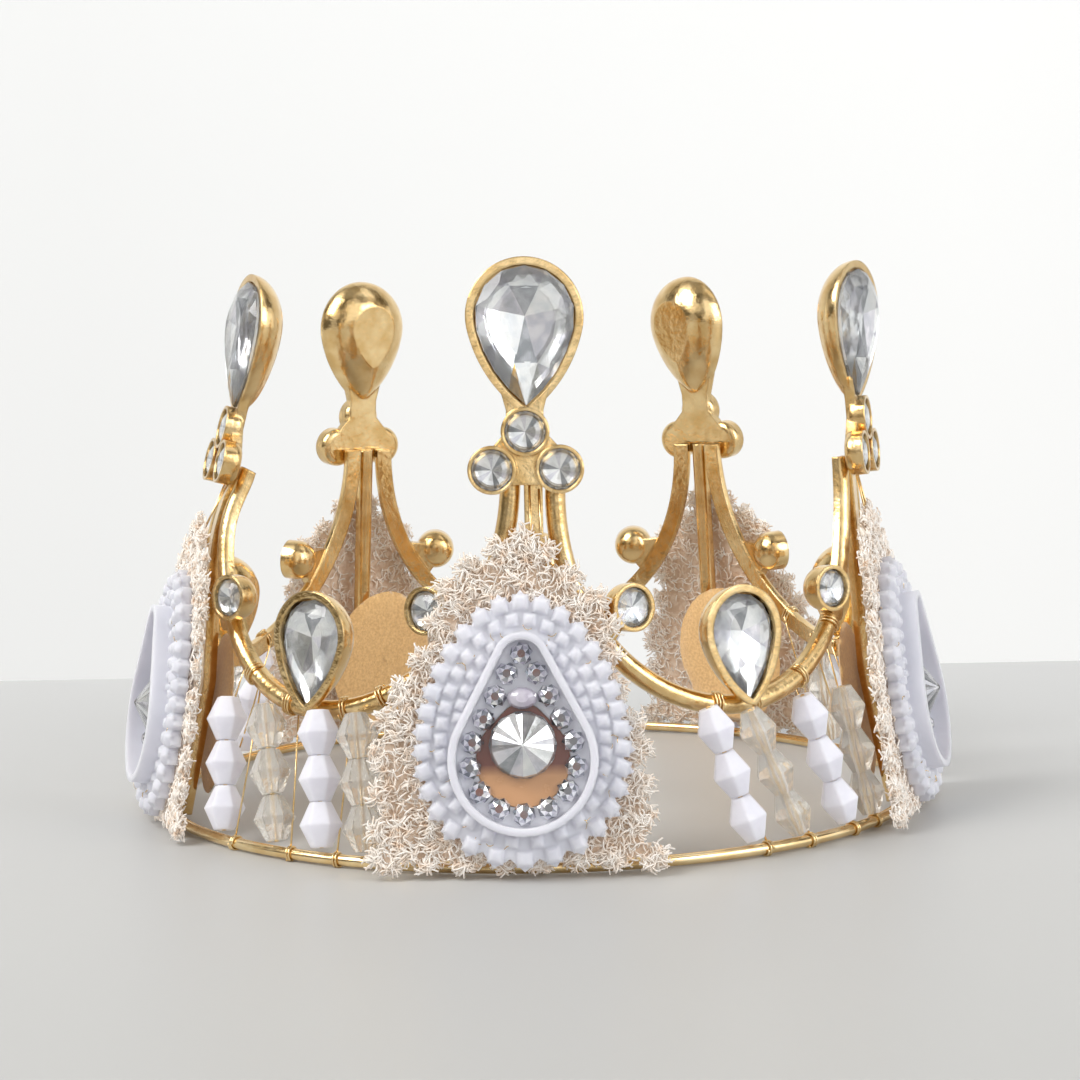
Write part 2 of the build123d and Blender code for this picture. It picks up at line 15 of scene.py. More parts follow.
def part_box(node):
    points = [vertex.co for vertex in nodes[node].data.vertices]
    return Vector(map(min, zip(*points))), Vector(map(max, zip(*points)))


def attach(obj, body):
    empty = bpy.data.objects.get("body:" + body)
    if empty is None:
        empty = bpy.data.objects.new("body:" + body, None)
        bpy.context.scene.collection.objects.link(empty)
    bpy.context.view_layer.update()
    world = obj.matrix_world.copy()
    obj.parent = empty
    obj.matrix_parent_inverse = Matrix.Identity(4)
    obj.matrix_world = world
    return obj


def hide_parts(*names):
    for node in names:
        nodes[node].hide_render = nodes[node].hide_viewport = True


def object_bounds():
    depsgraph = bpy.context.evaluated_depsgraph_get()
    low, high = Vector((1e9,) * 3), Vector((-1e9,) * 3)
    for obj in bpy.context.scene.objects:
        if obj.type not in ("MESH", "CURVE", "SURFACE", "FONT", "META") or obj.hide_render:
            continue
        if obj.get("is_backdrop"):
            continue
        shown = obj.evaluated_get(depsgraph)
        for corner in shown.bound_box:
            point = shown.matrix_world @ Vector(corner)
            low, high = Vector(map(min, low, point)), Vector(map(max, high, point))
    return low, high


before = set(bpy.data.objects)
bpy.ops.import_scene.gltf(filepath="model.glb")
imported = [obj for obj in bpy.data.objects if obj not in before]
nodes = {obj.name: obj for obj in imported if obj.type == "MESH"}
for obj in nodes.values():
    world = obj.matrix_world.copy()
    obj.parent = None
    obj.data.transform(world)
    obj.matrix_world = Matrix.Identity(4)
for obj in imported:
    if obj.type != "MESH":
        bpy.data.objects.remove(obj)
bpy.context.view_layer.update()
MM = 0.001

# %% [markdown]
# ## Working in millimetres on a leaning cone
# The castings lie on a cone that narrows upwards, and each lace panel is a flat card that leans against
# it. Every piece could be modelled in place, but curved surroundings make that hard to follow. A matrix for
# each place lets a piece be drawn flat, in millimetres, and then be set on the crown.

# %% Places on the crown
peaks = range(1, 6)
peak_step = 72.0
half_step = peak_step / 2
cone_lean = math.radians(4.8)
valley_radius, valley_height = 49.3, 19.0
lace_lean = math.radians(9.8)
lace_radius = 56.2
panel_shifts = [-1.9, 0, 0, 0, 0]


def placed(origin, along, outward):
    """Matrix with x along, z outward and its origin, in millimetres."""
    up = outward.cross(along)
    rows = [(along[i], up[i], outward[i], origin[i]) for i in range(3)]
    return Matrix(rows + [(0, 0, 0, 1)])


def on_cone(azimuth, height, out=0.0):
    """Place on the castings' cone: x along the ring, y up the cone, z outwards."""
    turn = math.radians(azimuth)
    radius = valley_radius - (height - valley_height) * math.tan(cone_lean)
    flat_out = Vector((math.sin(turn), -math.cos(turn), 0))
    outward = flat_out * math.cos(cone_lean) + Vector((0, 0, math.sin(cone_lean)))
    foot = flat_out * radius + Vector((0, 0, height))
    return placed(foot + outward * out, Vector((math.cos(turn), math.sin(turn), 0)), outward)


def leaning_card(number, radius, height, shift):
    """Place on a flat card that leans as the lace does, shifted along, up and out of the card."""
    outward = Vector((0, -math.cos(lace_lean), math.sin(lace_lean)))
    card = placed(Vector((0, -radius, height)), Vector((1, 0, 0)), outward)
    turned = Matrix.Rotation(math.radians(peak_step * (number - 1)), 4, "Z")
    return turned @ card @ Matrix.Translation(shift)


def on_lace(number, out=0.0):
    """Place on a lace panel's back face: y runs up from the hem, z outwards."""
    return leaning_card(number, lace_radius, 0, (panel_shifts[number - 1], 0, out))


print("front panel foot", [round(v, 1) for v in on_lace(1).translation])

# %% [markdown]
# ## From lists of points to pieces
# Stones, threads and wires are all short lists of points and faces, repeated many times. Blender could
# copy an object for each, but thousands of objects are slow. One helper gathers the lists instead, and
# another turns them into a single piece that rides on the crown.

# %% Gather points and make pieces


class Heap:
    """Points in millimetres and faces with a material number, gathered from many small shapes."""

    def __init__(self):
        self.points, self.faces, self.looks = [], [], []
        self.count = 0

    def add(self, points, faces, looks, place=None):
        points = np.asarray(points, dtype=float)
        if place is not None:
            matrix = np.array(place)
            points = points @ matrix[:3, :3].T + matrix[:3, 3]
        self.points.append(points)
        self.faces += [tuple(corner + self.count for corner in face) for face in faces]
        self.looks += list(looks) if hasattr(looks, "__len__") else [looks] * len(faces)
        self.count += len(points)


def piece_from(heap, name, finishes, slot, replaced=(), smooth=False):
    """A mesh piece in metres that rides on the crown and takes the given finishes; its slot is not used."""
    mesh = bpy.data.meshes.new(name)
    mesh.from_pydata((np.concatenate(heap.points) * MM).tolist(), [], heap.faces)
    for finish in finishes:
        mesh.materials.append(finish)
    mesh.polygons.foreach_set("material_index", heap.looks)
    mesh.polygons.foreach_set("use_smooth", [smooth] * len(mesh.polygons))
    mesh.update()
    piece = bpy.data.objects.new(name, mesh)
    bpy.context.scene.collection.objects.link(piece)
    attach(piece, "root")
    if replaced:
        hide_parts(*replaced)
    return piece


print("helpers", Heap.__name__, piece_from.__name__)

# %% [markdown]
# ## How a finish is built here
# A real surface is never the same all over: its colour drifts, and its polish comes and goes. A picture
# could hold that, but noise worked out in space fits any shape. So each finish is a Principled shader
# with noise behind its colour and roughness, and numbers that are the same all over stay on the shader's
# own sockets.

# %% Shared ways to build a finish


def new_finish(name, **sockets):
    """An empty material with its shader's plain sockets set."""
    finish = bpy.data.materials.new(name)
    finish.use_nodes = True
    shader = finish.node_tree.nodes["Principled BSDF"]
    for socket, value in sockets.items():
        shader.inputs[socket.replace("_", " ")].default_value = value
    return finish, finish.node_tree, shader


def noise(tree, per_mm, detail):
    """Noise in object space, with its features about 1 / per_mm millimetres across."""
    where = tree.nodes.new("ShaderNodeTexCoord")
    grain = tree.nodes.new("ShaderNodeTexNoise")
    grain.inputs["Scale"].default_value = per_mm / MM
    grain.inputs["Detail"].default_value = detail
    tree.links.new(where.outputs["Object"], grain.inputs["Vector"])
    return grain.outputs["Fac"]


def ramp(tree, source, stops):
    """Colour ramp from a value, given (place, colour) stops."""
    node = tree.nodes.new("ShaderNodeValToRGB")
    band = node.color_ramp
    while len(band.elements) < len(stops):
        band.elements.new(0.5)
    for element, (place, colour) in zip(band.elements, stops):
        element.position = place
        element.color = (*colour, 1)
    tree.links.new(source, node.inputs["Fac"])
    return node.outputs["Color"]


def along_axis(tree, axis, start, end):
    """A value that runs from 0 to 1 along an axis of the object, between two places in metres."""
    where = tree.nodes.new("ShaderNodeTexCoord")
    axes = tree.nodes.new("ShaderNodeSeparateXYZ")
    along = tree.nodes.new("ShaderNodeMapRange")
    along.inputs["From Min"].default_value = start
    along.inputs["From Max"].default_value = end
    tree.links.new(where.outputs["Object"], axes.inputs["Vector"])
    tree.links.new(axes.outputs[axis], along.inputs["Value"])
    return along.outputs["Result"]


print("node helpers", noise.__name__, ramp.__name__, along_axis.__name__)

# %% [markdown]
# ## Colour, polish and relief
# Every finish needs the same three things: a colour that drifts, a polish that comes and goes, and often a
# little relief. They could be wired by hand each time, but then small slips hide. A helper for each keeps
# the finishes down to their own numbers. A cast or moulded edge is rounded too, so the relief can start
# from edges shaded as worn.

# %% Colour, polish and relief
def tinted(tree, shader, per_mm, stops, detail=3.0):
    """Base colour that drifts with noise through (place, colour) stops."""
    tree.links.new(ramp(tree, noise(tree, per_mm, detail), stops), shader.inputs["Base Color"])


def polished(tree, shader, per_mm, low, high, detail=3.0):
    """Roughness that drifts with noise, whose usual range is stretched to fill low to high."""
    node = tree.nodes.new("ShaderNodeMapRange")
    node.inputs["From Min"].default_value = 0.3
    node.inputs["From Max"].default_value = 0.7
    node.inputs["To Min"].default_value = low
    node.inputs["To Max"].default_value = high
    tree.links.new(noise(tree, per_mm, detail), node.inputs["Value"])
    tree.links.new(node.outputs["Result"], shader.inputs["Roughness"])


def bumped(tree, shader, per_mm, height_mm, detail=3.0, edge_mm=0.0):
    """Noise bump with its height in millimetres, over edges that are shaded as round if asked."""
    node = tree.nodes.new("ShaderNodeBump")
    node.inputs["Strength"].default_value = 1.0
    node.inputs["Distance"].default_value = height_mm * MM
    tree.links.new(noise(tree, per_mm, detail), node.inputs["Height"])
    if edge_mm:
        worn = tree.nodes.new("ShaderNodeBevel")
        worn.samples = 4
        worn.inputs["Radius"].default_value = edge_mm * MM
        tree.links.new(worn.outputs["Normal"], node.inputs["Normal"])
    tree.links.new(node.outputs["Normal"], shader.inputs["Normal"])


print("finish helpers", tinted.__name__, polished.__name__, bumped.__name__)

# %% [markdown]
# ## Gilt metal
# The castings are zinc with a thin bright gold wash, and the wire is drawn and paler. A flat gold would
# look like plastic, because cast metal ripples and its wash wears on the high places. So the colour runs
# between a bright and a deep gold, and the castings get more ripple and softer edges than the wire.

# %% Gilt metal
def gilt_finish(name, bright, deep, rough_low, rough_high, ripple, edge=0.0):
    """Polished gilt: colour drifts a little, polish varies, and the skin ripples."""
    finish, tree, shader = new_finish(name, Metallic=1.0)
    tinted(tree, shader, 0.35, [(0.35, deep), (0.65, bright)])
    polished(tree, shader, 1.2, rough_low, rough_high, detail=5.0)
    bumped(tree, shader, 0.9, ripple, detail=4.0, edge_mm=edge)
    return finish


cast_gilt = gilt_finish("cast_gilt", (0.87, 0.65, 0.34), (0.72, 0.48, 0.20), 0.09, 0.20, 0.07, edge=0.45)
wire_gilt = gilt_finish("wire_gilt", (0.95, 0.75, 0.43), (0.87, 0.62, 0.30), 0.12, 0.26, 0.02)
print("gilt finishes", cast_gilt.name, wire_gilt.name)

# %% [markdown]
# ## Clear crystal
# The stones are clear cut glass or acrylic. Pure glass turns too dark where it mirrors the shadowed side of
# the room, while real stones have fine scratches that lift it. A small share of plain pale colour under
# the glass does the same.

# %% Clear crystal
crystal, tree, shader = new_finish("clear_crystal", IOR=1.54, Transmission_Weight=0.94)
tinted(tree, shader, 0.5, [(0.4, (0.90, 0.92, 0.92)), (0.6, (0.98, 0.98, 0.97))])
polished(tree, shader, 0.8, 0.0, 0.05, detail=4.0)
print("crystal", crystal.name)

# %% [markdown]
# ## Foil and painted reflections behind the stones
# The back of each stone is silvered, and every back facet mirrors another part of the room. Under soft light
# all round, that contrast would be lost, so the facets get foil in four tones: silver, and painted
# reflections in grey, lilac and one spark of amber. A list of tones then says which facet gets which.

# %% Foils and painted reflections
def foil_and_painted_reflection(name, deep, bright):
    """Mirror foil in one tone; any tone but silver is a painted reflection."""
    finish, tree, shader = new_finish(name, Metallic=0.85)
    tinted(tree, shader, 0.6, [(0.4, deep), (0.6, bright)], detail=1.0)
    polished(tree, shader, 1.0, 0.05, 0.18)
    return finish


silver_foil = foil_and_painted_reflection("stone_foil", (0.88, 0.90, 0.92), (1.0, 1.0, 0.99))
# Grey, lilac and amber are painted reflections put into the foil's colour; the amber stands for mirrored
# gold.
grey_painted_reflection = foil_and_painted_reflection("grey_painted_reflection", (0.25, 0.27, 0.29), (0.46, 0.47, 0.50))
lilac_painted_reflection = foil_and_painted_reflection("lilac_painted_reflection", (0.62, 0.62, 0.68), (0.80, 0.78, 0.82))
amber_painted_reflection = foil_and_painted_reflection("amber_painted_reflection", (0.80, 0.46, 0.10), (0.85, 0.62, 0.36))
# The grey, lilac and amber looks mark facets with painted reflections.
CLEAR, SILVER, PAINTED_GREY, PAINTED_LILAC, PAINTED_AMBER, PAINTED_DARK, OVAL = range(7)
stone_looks = [crystal, silver_foil, grey_painted_reflection, lilac_painted_reflection, amber_painted_reflection]
print("stone finishes", [look.name for look in stone_looks])

# %% [markdown]
# ## Dark middles and the oval
# The smallest stones show a small brown-grey table in a bright rim; that dark table is a painted reflection.
# The oval above the cone stone is lilac glass with a glossy skin. Both are plain glossy colours under a clear
# coat: seen this small, true glass would only add noise.

# %% Painted dark tables and lilac glass
# The table's brown-grey is a painted dark reflection.
painted_dark_table, tree, shader = new_finish("painted_dark_table", Coat_Weight=1.0, Coat_Roughness=0.05)
tinted(tree, shader, 0.2, [(0.4, (0.20, 0.08, 0.06)), (0.6, (0.16, 0.16, 0.17))])
polished(tree, shader, 2.0, 0.1, 0.3)

lilac_glass, tree, shader = new_finish(
    "lilac_glass", Transmission_Weight=0.2, Coat_Weight=1.0, Coat_Roughness=0.06
)
tinted(tree, shader, 0.5, [(0.4, (0.60, 0.55, 0.66)), (0.6, (0.74, 0.70, 0.79))])
polished(tree, shader, 1.0, 0.08, 0.2)
print("small finishes", painted_dark_table.name, lilac_glass.name)

# %% [markdown]
# ## Milky beads and medallions
# Both are milky lilac-white plastic that light soaks into, so their shadows stay pale and their edges look
# soft. Subsurface scattering gives the soak, with nearly equal reach for each colour, because the default
# reach is skin's and turns white plastic pink. A faint glow stands for the light that comes right through.

# %% Milky plastic
even_scatter = (1.0, 0.93, 0.97)
lilac_glow = (0.86, 0.84, 0.93, 1.0)
milk_bead, tree, shader = new_finish(
    "milk_bead",
    Subsurface_Weight=0.8,
    Subsurface_Scale=0.002,
    Subsurface_Radius=even_scatter,
    Specular_IOR_Level=0.35,
    Emission_Color=lilac_glow,
    Emission_Strength=0.14,
)
tinted(tree, shader, 0.3, [(0.4, (0.67, 0.67, 0.73)), (0.6, (0.73, 0.73, 0.79))])
polished(tree, shader, 1.5, 0.28, 0.42)
bumped(tree, shader, 0.8, 0.05, edge_mm=0.55)

milky, tree, shader = new_finish(
    "milky_plastic",
    Subsurface_Weight=0.8,
    Subsurface_Scale=0.0016,
    Subsurface_Radius=even_scatter,
    Specular_IOR_Level=0.3,
    Emission_Color=lilac_glow,
    Emission_Strength=0.10,
)
tinted(tree, shader, 0.12, [(0.35, (0.60, 0.61, 0.66)), (0.65, (0.66, 0.665, 0.71))])
polished(tree, shader, 0.9, 0.30, 0.45)
bumped(tree, shader, 0.7, 0.05, edge_mm=0.9)
print("milky finishes", milk_bead.name, milky.name)

# %% [markdown]
# ## Champagne beads
# The clear beads are moulded acrylic, hazy and slightly yellow, with ripples from the mould. They let less
# light through than the stones, so a quarter of their look is plain colour, and the bump is coarse.

# %% Champagne beads
clear_bead, tree, shader = new_finish("champagne_bead", IOR=1.42, Transmission_Weight=0.76)
tinted(tree, shader, 0.4, [(0.4, (0.98, 0.94, 0.86)), (0.6, (1.0, 0.98, 0.94))])
polished(tree, shader, 1.1, 0.06, 0.20)
bumped(tree, shader, 1.3, 0.10, detail=2.0)
print("clear bead finish", clear_bead.name)

# %% [markdown]
# ## Plaque behind the cone stone
# The plaque is peach at its lower end, and beside and above the stone it is painted red-brown shade. It could
# be two pieces, but the change is soft, so one ramp runs up the object's height and turns from the peach to
# the painted shade.

# %% Peach plaque
# Above this height the colour is painted shade, dark red-brown.
peach_ends, painted_shade_starts = 0.0128, 0.0142
plaque, tree, shader = new_finish("peach_plaque", Coat_Weight=0.8, Coat_Roughness=0.08)
plaque_and_shade_stops = [(0.0, (0.60, 0.31, 0.14)), (1.0, (0.19, 0.05, 0.03))]
plaque_and_shade_colour = ramp(tree, along_axis(tree, "Z", peach_ends, painted_shade_starts), plaque_and_shade_stops)
tree.links.new(plaque_and_shade_colour, shader.inputs["Base Color"])
polished(tree, shader, 0.8, 0.12, 0.3)
print("plaque finish", plaque.name)

# %% [markdown]
# ## Thread, ground and felt
# The lace is cream thread with a metallic sheen over a ground whose brown is painted shade for the gaps
# between the curls. Light comes through the lace, so the thread has a clear coat for the sheen and a faint
# warm glow. The felt is matt and fuzzy: a sheen for its loose fibres, and a fine bump for its surface.

# %% Soft finishes
thread, tree, shader = new_finish(
    "metallic_thread", Coat_Weight=0.4, Emission_Color=(0.95, 0.80, 0.66, 1.0), Emission_Strength=0.07
)
thread_stops = [(0.30, (0.80, 0.60, 0.44)), (0.42, (0.95, 0.85, 0.75)), (0.62, (1.0, 0.96, 0.91))]
tinted(tree, shader, 0.8, thread_stops, detail=2.0)
polished(tree, shader, 2.0, 0.25, 0.5)

ground, tree, shader = new_finish("lace_ground", Sheen_Weight=0.2)
# The ground's brown is painted shade for the gaps between the curls.
tinted(tree, shader, 1.0, [(0.4, (0.72, 0.54, 0.40)), (0.6, (0.86, 0.71, 0.58))], detail=2.0)
polished(tree, shader, 3.0, 0.6, 0.9)
bumped(tree, shader, 3.0, 0.15)

felt, tree, shader = new_finish("peach_felt", Sheen_Weight=0.6, Sheen_Roughness=0.6)
tinted(tree, shader, 2.5, [(0.35, (0.78, 0.46, 0.175)), (0.65, (0.97, 0.63, 0.265))], detail=4.0)
polished(tree, shader, 3.0, 0.75, 0.95)
bumped(tree, shader, 4.0, 0.12, detail=5.0)
print("soft finishes", thread.name, ground.name, felt.name)

# %% [markdown]
# ## Metal and moulded parts from the frame
# The ring, castings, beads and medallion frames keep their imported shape. A cast or moulded edge is never
# knife sharp, so where it shows, a narrow bevel rounds what catches the light.

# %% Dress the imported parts
dressed = {
    "base_ring": (wire_gilt, 0.0),
    "strand_wires": (wire_gilt, 0.0),
    "peach_plaques": (plaque, 0.1),
}
for number in peaks:
    dressed[f"scallop_{number}"] = (cast_gilt, 0.0)
    dressed[f"stem_rod_{number}"] = (cast_gilt, 0.0)
    dressed[f"crest_{number}"] = (cast_gilt, 0.28)
    dressed[f"medallion_frame_{number}"] = (milky, 0.28)
    dressed[f"white_beads_{number}"] = (milk_bead, 0.35)
    dressed[f"clear_beads_{number}"] = (clear_bead, 0.08)
sharp_edge = math.radians(28)
for name, (finish, edge) in dressed.items():
    node = nodes[name]
    node.data.materials.clear()
    node.data.materials.append(finish)
    if edge:
        bevel = node.modifiers.new("soft_edge", "BEVEL")
        bevel.width = edge * MM
        bevel.segments = 3
        bevel.limit_method = "ANGLE"
        bevel.angle_limit = sharp_edge
print("dressed nodes", len(dressed))

# %% [markdown]
# ## Facets of a cut stone
# A foiled stone is clear on top and silvered underneath, and what is seen through it is the pointed back
# with its facets meeting in the middle. A bump or a picture can't give that, since the facets shift as the
# eye moves. So each stone is a real crown in clear crystal over a shallow mirrored back, and the crown
# comes first: rings of corners, joined by flat facets.

# %% Crown of a cut stone


def stone_rings(outline, count, levels):
    """Rings of facet corners up a stone's crown, half a step round on the third ring."""
    points, starts = [], []
    for step, (height, share) in enumerate(levels):
        turn = 0.5 if step == 2 else 0.0
        starts.append((len(points), turn))
        for corner in range(count):
            x, y = outline((corner + turn) / count)
            points.append((x * share, y * share, height))
    return points, starts


def crown_facets(starts, count):
    """Facets between the rings: quads where they line up, kites' halves where they don't."""
    faces = []
    for (low, low_turn), (high, high_turn) in zip(starts, starts[1:]):
        for corner in range(count):
            after = (corner + 1) % count
            near_low, far_low = low + corner, low + after
            near_high, far_high = high + corner, high + after
            if low_turn == high_turn:
                faces.append((near_low, far_low, far_high, near_high))
            elif high_turn > low_turn:
                faces += [(near_low, far_low, near_high), (far_low, far_high, near_high)]
            else:
                faces += [(near_low, far_high, near_high), (near_low, far_low, far_high)]
    return faces


print("crown helpers", stone_rings.__name__, crown_facets.__name__)

# %% [markdown]
# ## The foiled back
# The back is a ring of kites that meet in a point, with silver strips between them under the girdle. One
# mirror material would be enough for a perfect stone. Here every facet has a number for its look, so that
# single facets can be white silver, or carry a painted reflection in grey, lilac or amber.

# %% A whole cut stone
def cut_stone(outline, count, levels, back, culet, crown=(CLEAR,), table=CLEAR, painted_tones=(SILVER,), painted_glint=-1):
    """A clear crown over a foiled back that meets in a point, with painted reflection tones on its back
    facets and one painted amber glint if asked.
    """
    points, starts = stone_rings(outline, count, levels)
    faces = crown_facets(starts, count)
    looks = [crown[step % len(crown)] for step in range(len(faces))]
    faces.append(tuple(starts[-1][0] + corner for corner in range(count)))
    looks.append(table)
    mid, half = len(points), count // 2
    for corner in range(half):
        x, y = outline((2 * corner + 1) / count)
        points.append((x * back[1], y * back[1], back[0]))
    tip = len(points)
    points.append(culet)
    for corner in range(half):
        first, second, third = 2 * corner, 2 * corner + 1, (2 * corner + 2) % count
        here, after = mid + corner, mid + (corner + 1) % half
        faces += [(second, first, here), (third, second, here), (third, here, after), (after, here, tip)]
        # Between the kites lies a painted reflection: lilac, or the painted amber glint.
        side = PAINTED_AMBER if corner == painted_glint else PAINTED_LILAC
        looks += [SILVER, side, SILVER, painted_tones[corner % len(painted_tones)]]
    return points, faces, looks


print("stone helper", cut_stone.__name__)

# %% [markdown]
# ## Outlines for the stones
# A pear is a round end, two long arcs that leave it a little below its widest place, and a point where
# they meet. Walking that path at even steps gives facets of even width all the way round.

# %% Girdle outlines


def pear_outline(width, height):
    """Girdle of a pear with its tip down, about its round end's centre, as a function of 0 to 1."""
    end = width / 2
    turn = math.radians(12)
    touch = Vector((end * math.cos(turn), -end * math.sin(turn)))
    tip = Vector((0, end - height))
    heading = Vector((-math.sin(turn), -math.cos(turn)))
    chord = tip - touch
    half = math.acos(max(-1, min(1, heading.dot(chord) / chord.length)))
    radius = chord.length / 2 / math.sin(half)
    centre = touch + Vector((-math.cos(turn), math.sin(turn))) * radius
    first = math.atan2(tip.y - centre.y, tip.x - centre.x)
    last = math.atan2(touch.y - centre.y, touch.x - centre.x)
    arc_steps, end_steps = 40, 80
    path = []
    for step in range(arc_steps + 1):
        angle = first + (last - first) * step / arc_steps
        path.append((centre.x + radius * math.cos(angle), centre.y + radius * math.sin(angle)))
    for step in range(1, end_steps + 1):
        angle = -turn + (math.pi + 2 * turn) * step / end_steps
        path.append((end * math.cos(angle), end * math.sin(angle)))
    path += [(-x, y) for x, y in reversed(path[:arc_steps])]
    return even_walk(path)


def even_walk(path):
    """Function from 0 to 1 that walks a path of points at an even pace."""
    xs, ys = np.array(path).T
    spans = np.concatenate([[0.0], np.cumsum(np.hypot(np.diff(xs), np.diff(ys)))])

    def spot(share):
        where = (share % 1.0) * spans[-1]
        return np.interp(where, spans, xs), np.interp(where, spans, ys)

    return spot


def round_outline(radius, stretch=1.0):
    """Round or oval girdle."""
    return lambda share: (radius * stretch * math.cos(math.tau * share), radius * math.sin(math.tau * share))


print("a pear's tip and right side", [np.round(pear_outline(13, 18)(share), 1) for share in (0, 0.3)])

# %% [markdown]
# ## Where each casting was bent
# The crown was bent by hand, so its crests twist and lean, one valley leans, and one pair of scrolls sits
# closer in. A stone has to sit in its own cup, so each place follows the same bends as the castings do.

# %% Bent places
crest_bends = [(-0.9, 0, 0), (0, 0, 0), (1.0, 0, 0), (0, 0, 0), (0, -2.75, -10)]
head_bends = [(0, 8, 0), (5, -14, 0), (0, -13, -8), (0, 0, 0), (6, 6, 0)]
valley_bends = [(-3.3, -0.4, 4.5), (0, -0.4, 0), (0, -0.4, 0), (0, -0.4, 0), (0, -0.4, -3.5)]
scroll_azimuths = [(-22.3, 18.4), (-20.4, 20.4), (-20.4, 20.4), (-20.4, 20.4), (-21.7, 20.4)]
web_back = 1.1
cups_height = 50.4
hinge_rise, head_rise = 7.6, 11.9
valley_rise = 10.1
scroll_height, scroll_twist = 32.6, 18


def turned_by(lean_out, twist=0, tilt=0):
    """Lean about x, then twist about y, then tilt about z, in degrees."""
    lean_matrix = Matrix.Rotation(math.radians(lean_out), 4, "X")
    twist_matrix = Matrix.Rotation(math.radians(twist), 4, "Y")
    return lean_matrix @ twist_matrix @ Matrix.Rotation(math.radians(tilt), 4, "Z")


def crest_place(number):
    """Place midway between a crest's lower pair of cups."""
    along, out, lean_out = crest_bends[number - 1]
    upright = on_cone(peak_step * (number - 1), cups_height)
    return upright @ Matrix.Translation((along, 0, out)) @ turned_by(lean_out)


def head_place(number, girdle):
    """Place of a crest's pear stone at its girdle, bent about its neck."""
    hinge = Matrix.Translation((0, hinge_rise, web_back)) @ turned_by(*head_bends[number - 1])
    return crest_place(number) @ hinge @ Matrix.Translation((0, head_rise, girdle - web_back))


def valley_place(number, girdle):
    """Place of a bay's pear stone, tilted about its cup's tip."""
    azimuth, rise, tilt = valley_bends[number - 1]
    tip = on_cone(peak_step * (number - 1) + half_step + azimuth, valley_height + rise)
    return tip @ turned_by(0, 0, tilt) @ Matrix.Translation((0, valley_rise, girdle))


def scroll_place(number, side, girdle):
    """Place of a scroll's round stone."""
    azimuth = scroll_azimuths[number - 1][side > 0]
    cup = on_cone(peak_step * (number - 1) + half_step + azimuth, scroll_height)
    return cup @ turned_by(0, -side * scroll_twist) @ Matrix.Translation((0, 0, girdle))


print("front crest's cups at", [round(v, 1) for v in crest_place(1).translation])

# %% [markdown]
# ## Pear stones
# Each head holds a pear stone tip down, and each valley a smaller one. A few broad back facets shine through
# in white, grey and lilac, with an amber glint low at the left of the large ones. One mirrored back would
# show them all alike, so these reflections are painted: the tones are listed by facet, from the tip and first
# up the right side.

# %% Pear stones in the heads and valleys
pear_facets = 16
pear_crown = [(0.0, 1.0), (0.45, 1.0), (1.25, 0.82), (1.88, 0.56)]
valley_scale = 0.8
valley_crown = [(height * valley_scale, share) for height, share in pear_crown]
back_share = 0.62
# Painted reflections on the back facets; the large stones also get the painted amber glint.
head_painted_tones = (PAINTED_LILAC, PAINTED_LILAC, SILVER, PAINTED_GREY, PAINTED_LILAC, SILVER, SILVER, PAINTED_GREY)
valley_painted_tones = (SILVER, PAINTED_LILAC, SILVER, PAINTED_GREY, SILVER, SILVER, SILVER, PAINTED_LILAC)
head_outline, head_girdle = pear_outline(12.8, 17.73), 2.46
valley_outline, valley_girdle = pear_outline(9.85, 13.79), 2.01
head_cut = cut_stone(
    head_outline, pear_facets, pear_crown, (-0.35, back_share), (0, 0, -0.74), painted_tones=head_painted_tones, painted_glint=7
)
valley_cut = cut_stone(
    valley_outline, pear_facets, valley_crown, (-0.28, back_share), (0, 0, -0.59), painted_tones=valley_painted_tones
)
for number in peaks:
    heap = Heap()
    heap.add(*head_cut, head_place(number, head_girdle))
    piece_from(heap, f"head_stone_{number}", stone_looks, "crystal", [f"crest_pear_stone_{number}"])
    heap = Heap()
    heap.add(*valley_cut, valley_place(number, valley_girdle))
    piece_from(heap, f"valley_stone_{number}", stone_looks, "crystal", [f"valley_pear_stone_{number}"])


def offset_from(node, piece):
    """How far a piece's lowest corner is from that of the node that it stands for, in millimetres."""
    corners = [vertex.co for vertex in bpy.data.objects[piece].data.vertices]
    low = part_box(node)[0]
    return [round((min(corner[axis] for corner in corners) - low[axis]) / MM, 2) for axis in range(3)]


for number in peaks:
    print("head", number, offset_from(f"crest_pear_stone_{number}", f"head_stone_{number}"))
    print("valley", number, offset_from(f"valley_pear_stone_{number}", f"valley_stone_{number}"))

# %% [markdown]
# ## Round stones
# Three round stones sit on each crest and one on each scroll. They are brilliant cuts. At this size such a
# cut reads as a fine starburst, so instead of all its small facets they get nearly twice as many as a pear,
# with painted reflection tones that change from one to the next.

# %% Round stones on the crests and scrolls
round_facets = 30
round_crown = [(0.0, 1.0), (0.25, 1.0), (0.65, 0.80), (0.95, 0.52)]
round_back, round_culet = (-0.2, 0.85), (0, 0, -0.39)
# Painted reflections, one tone for each back facet in turn.
round_painted_tones = (SILVER, PAINTED_GREY, SILVER, PAINTED_LILAC, SILVER)
crest_girdle, scroll_girdle = 2.81, 1.51
crest_cups = [(-4.3, 0), (4.3, 0), (0, 4.8)]
crest_cut = cut_stone(
    round_outline(2.6), round_facets, round_crown, round_back, round_culet, painted_tones=round_painted_tones
)
scroll_cut = cut_stone(
    round_outline(2.55), round_facets, round_crown, round_back, round_culet, painted_tones=round_painted_tones
)
crest_heap, scroll_heap = Heap(), Heap()
for number in peaks:
    for x, y in crest_cups:
        crest_heap.add(*crest_cut, crest_place(number) @ Matrix.Translation((x, y, crest_girdle)))
    for side in (-1, 1):
        scroll_heap.add(*scroll_cut, scroll_place(number, side, scroll_girdle))
piece_from(crest_heap, "crest_round_cut", stone_looks, "crystal", ["crest_round_stones"])
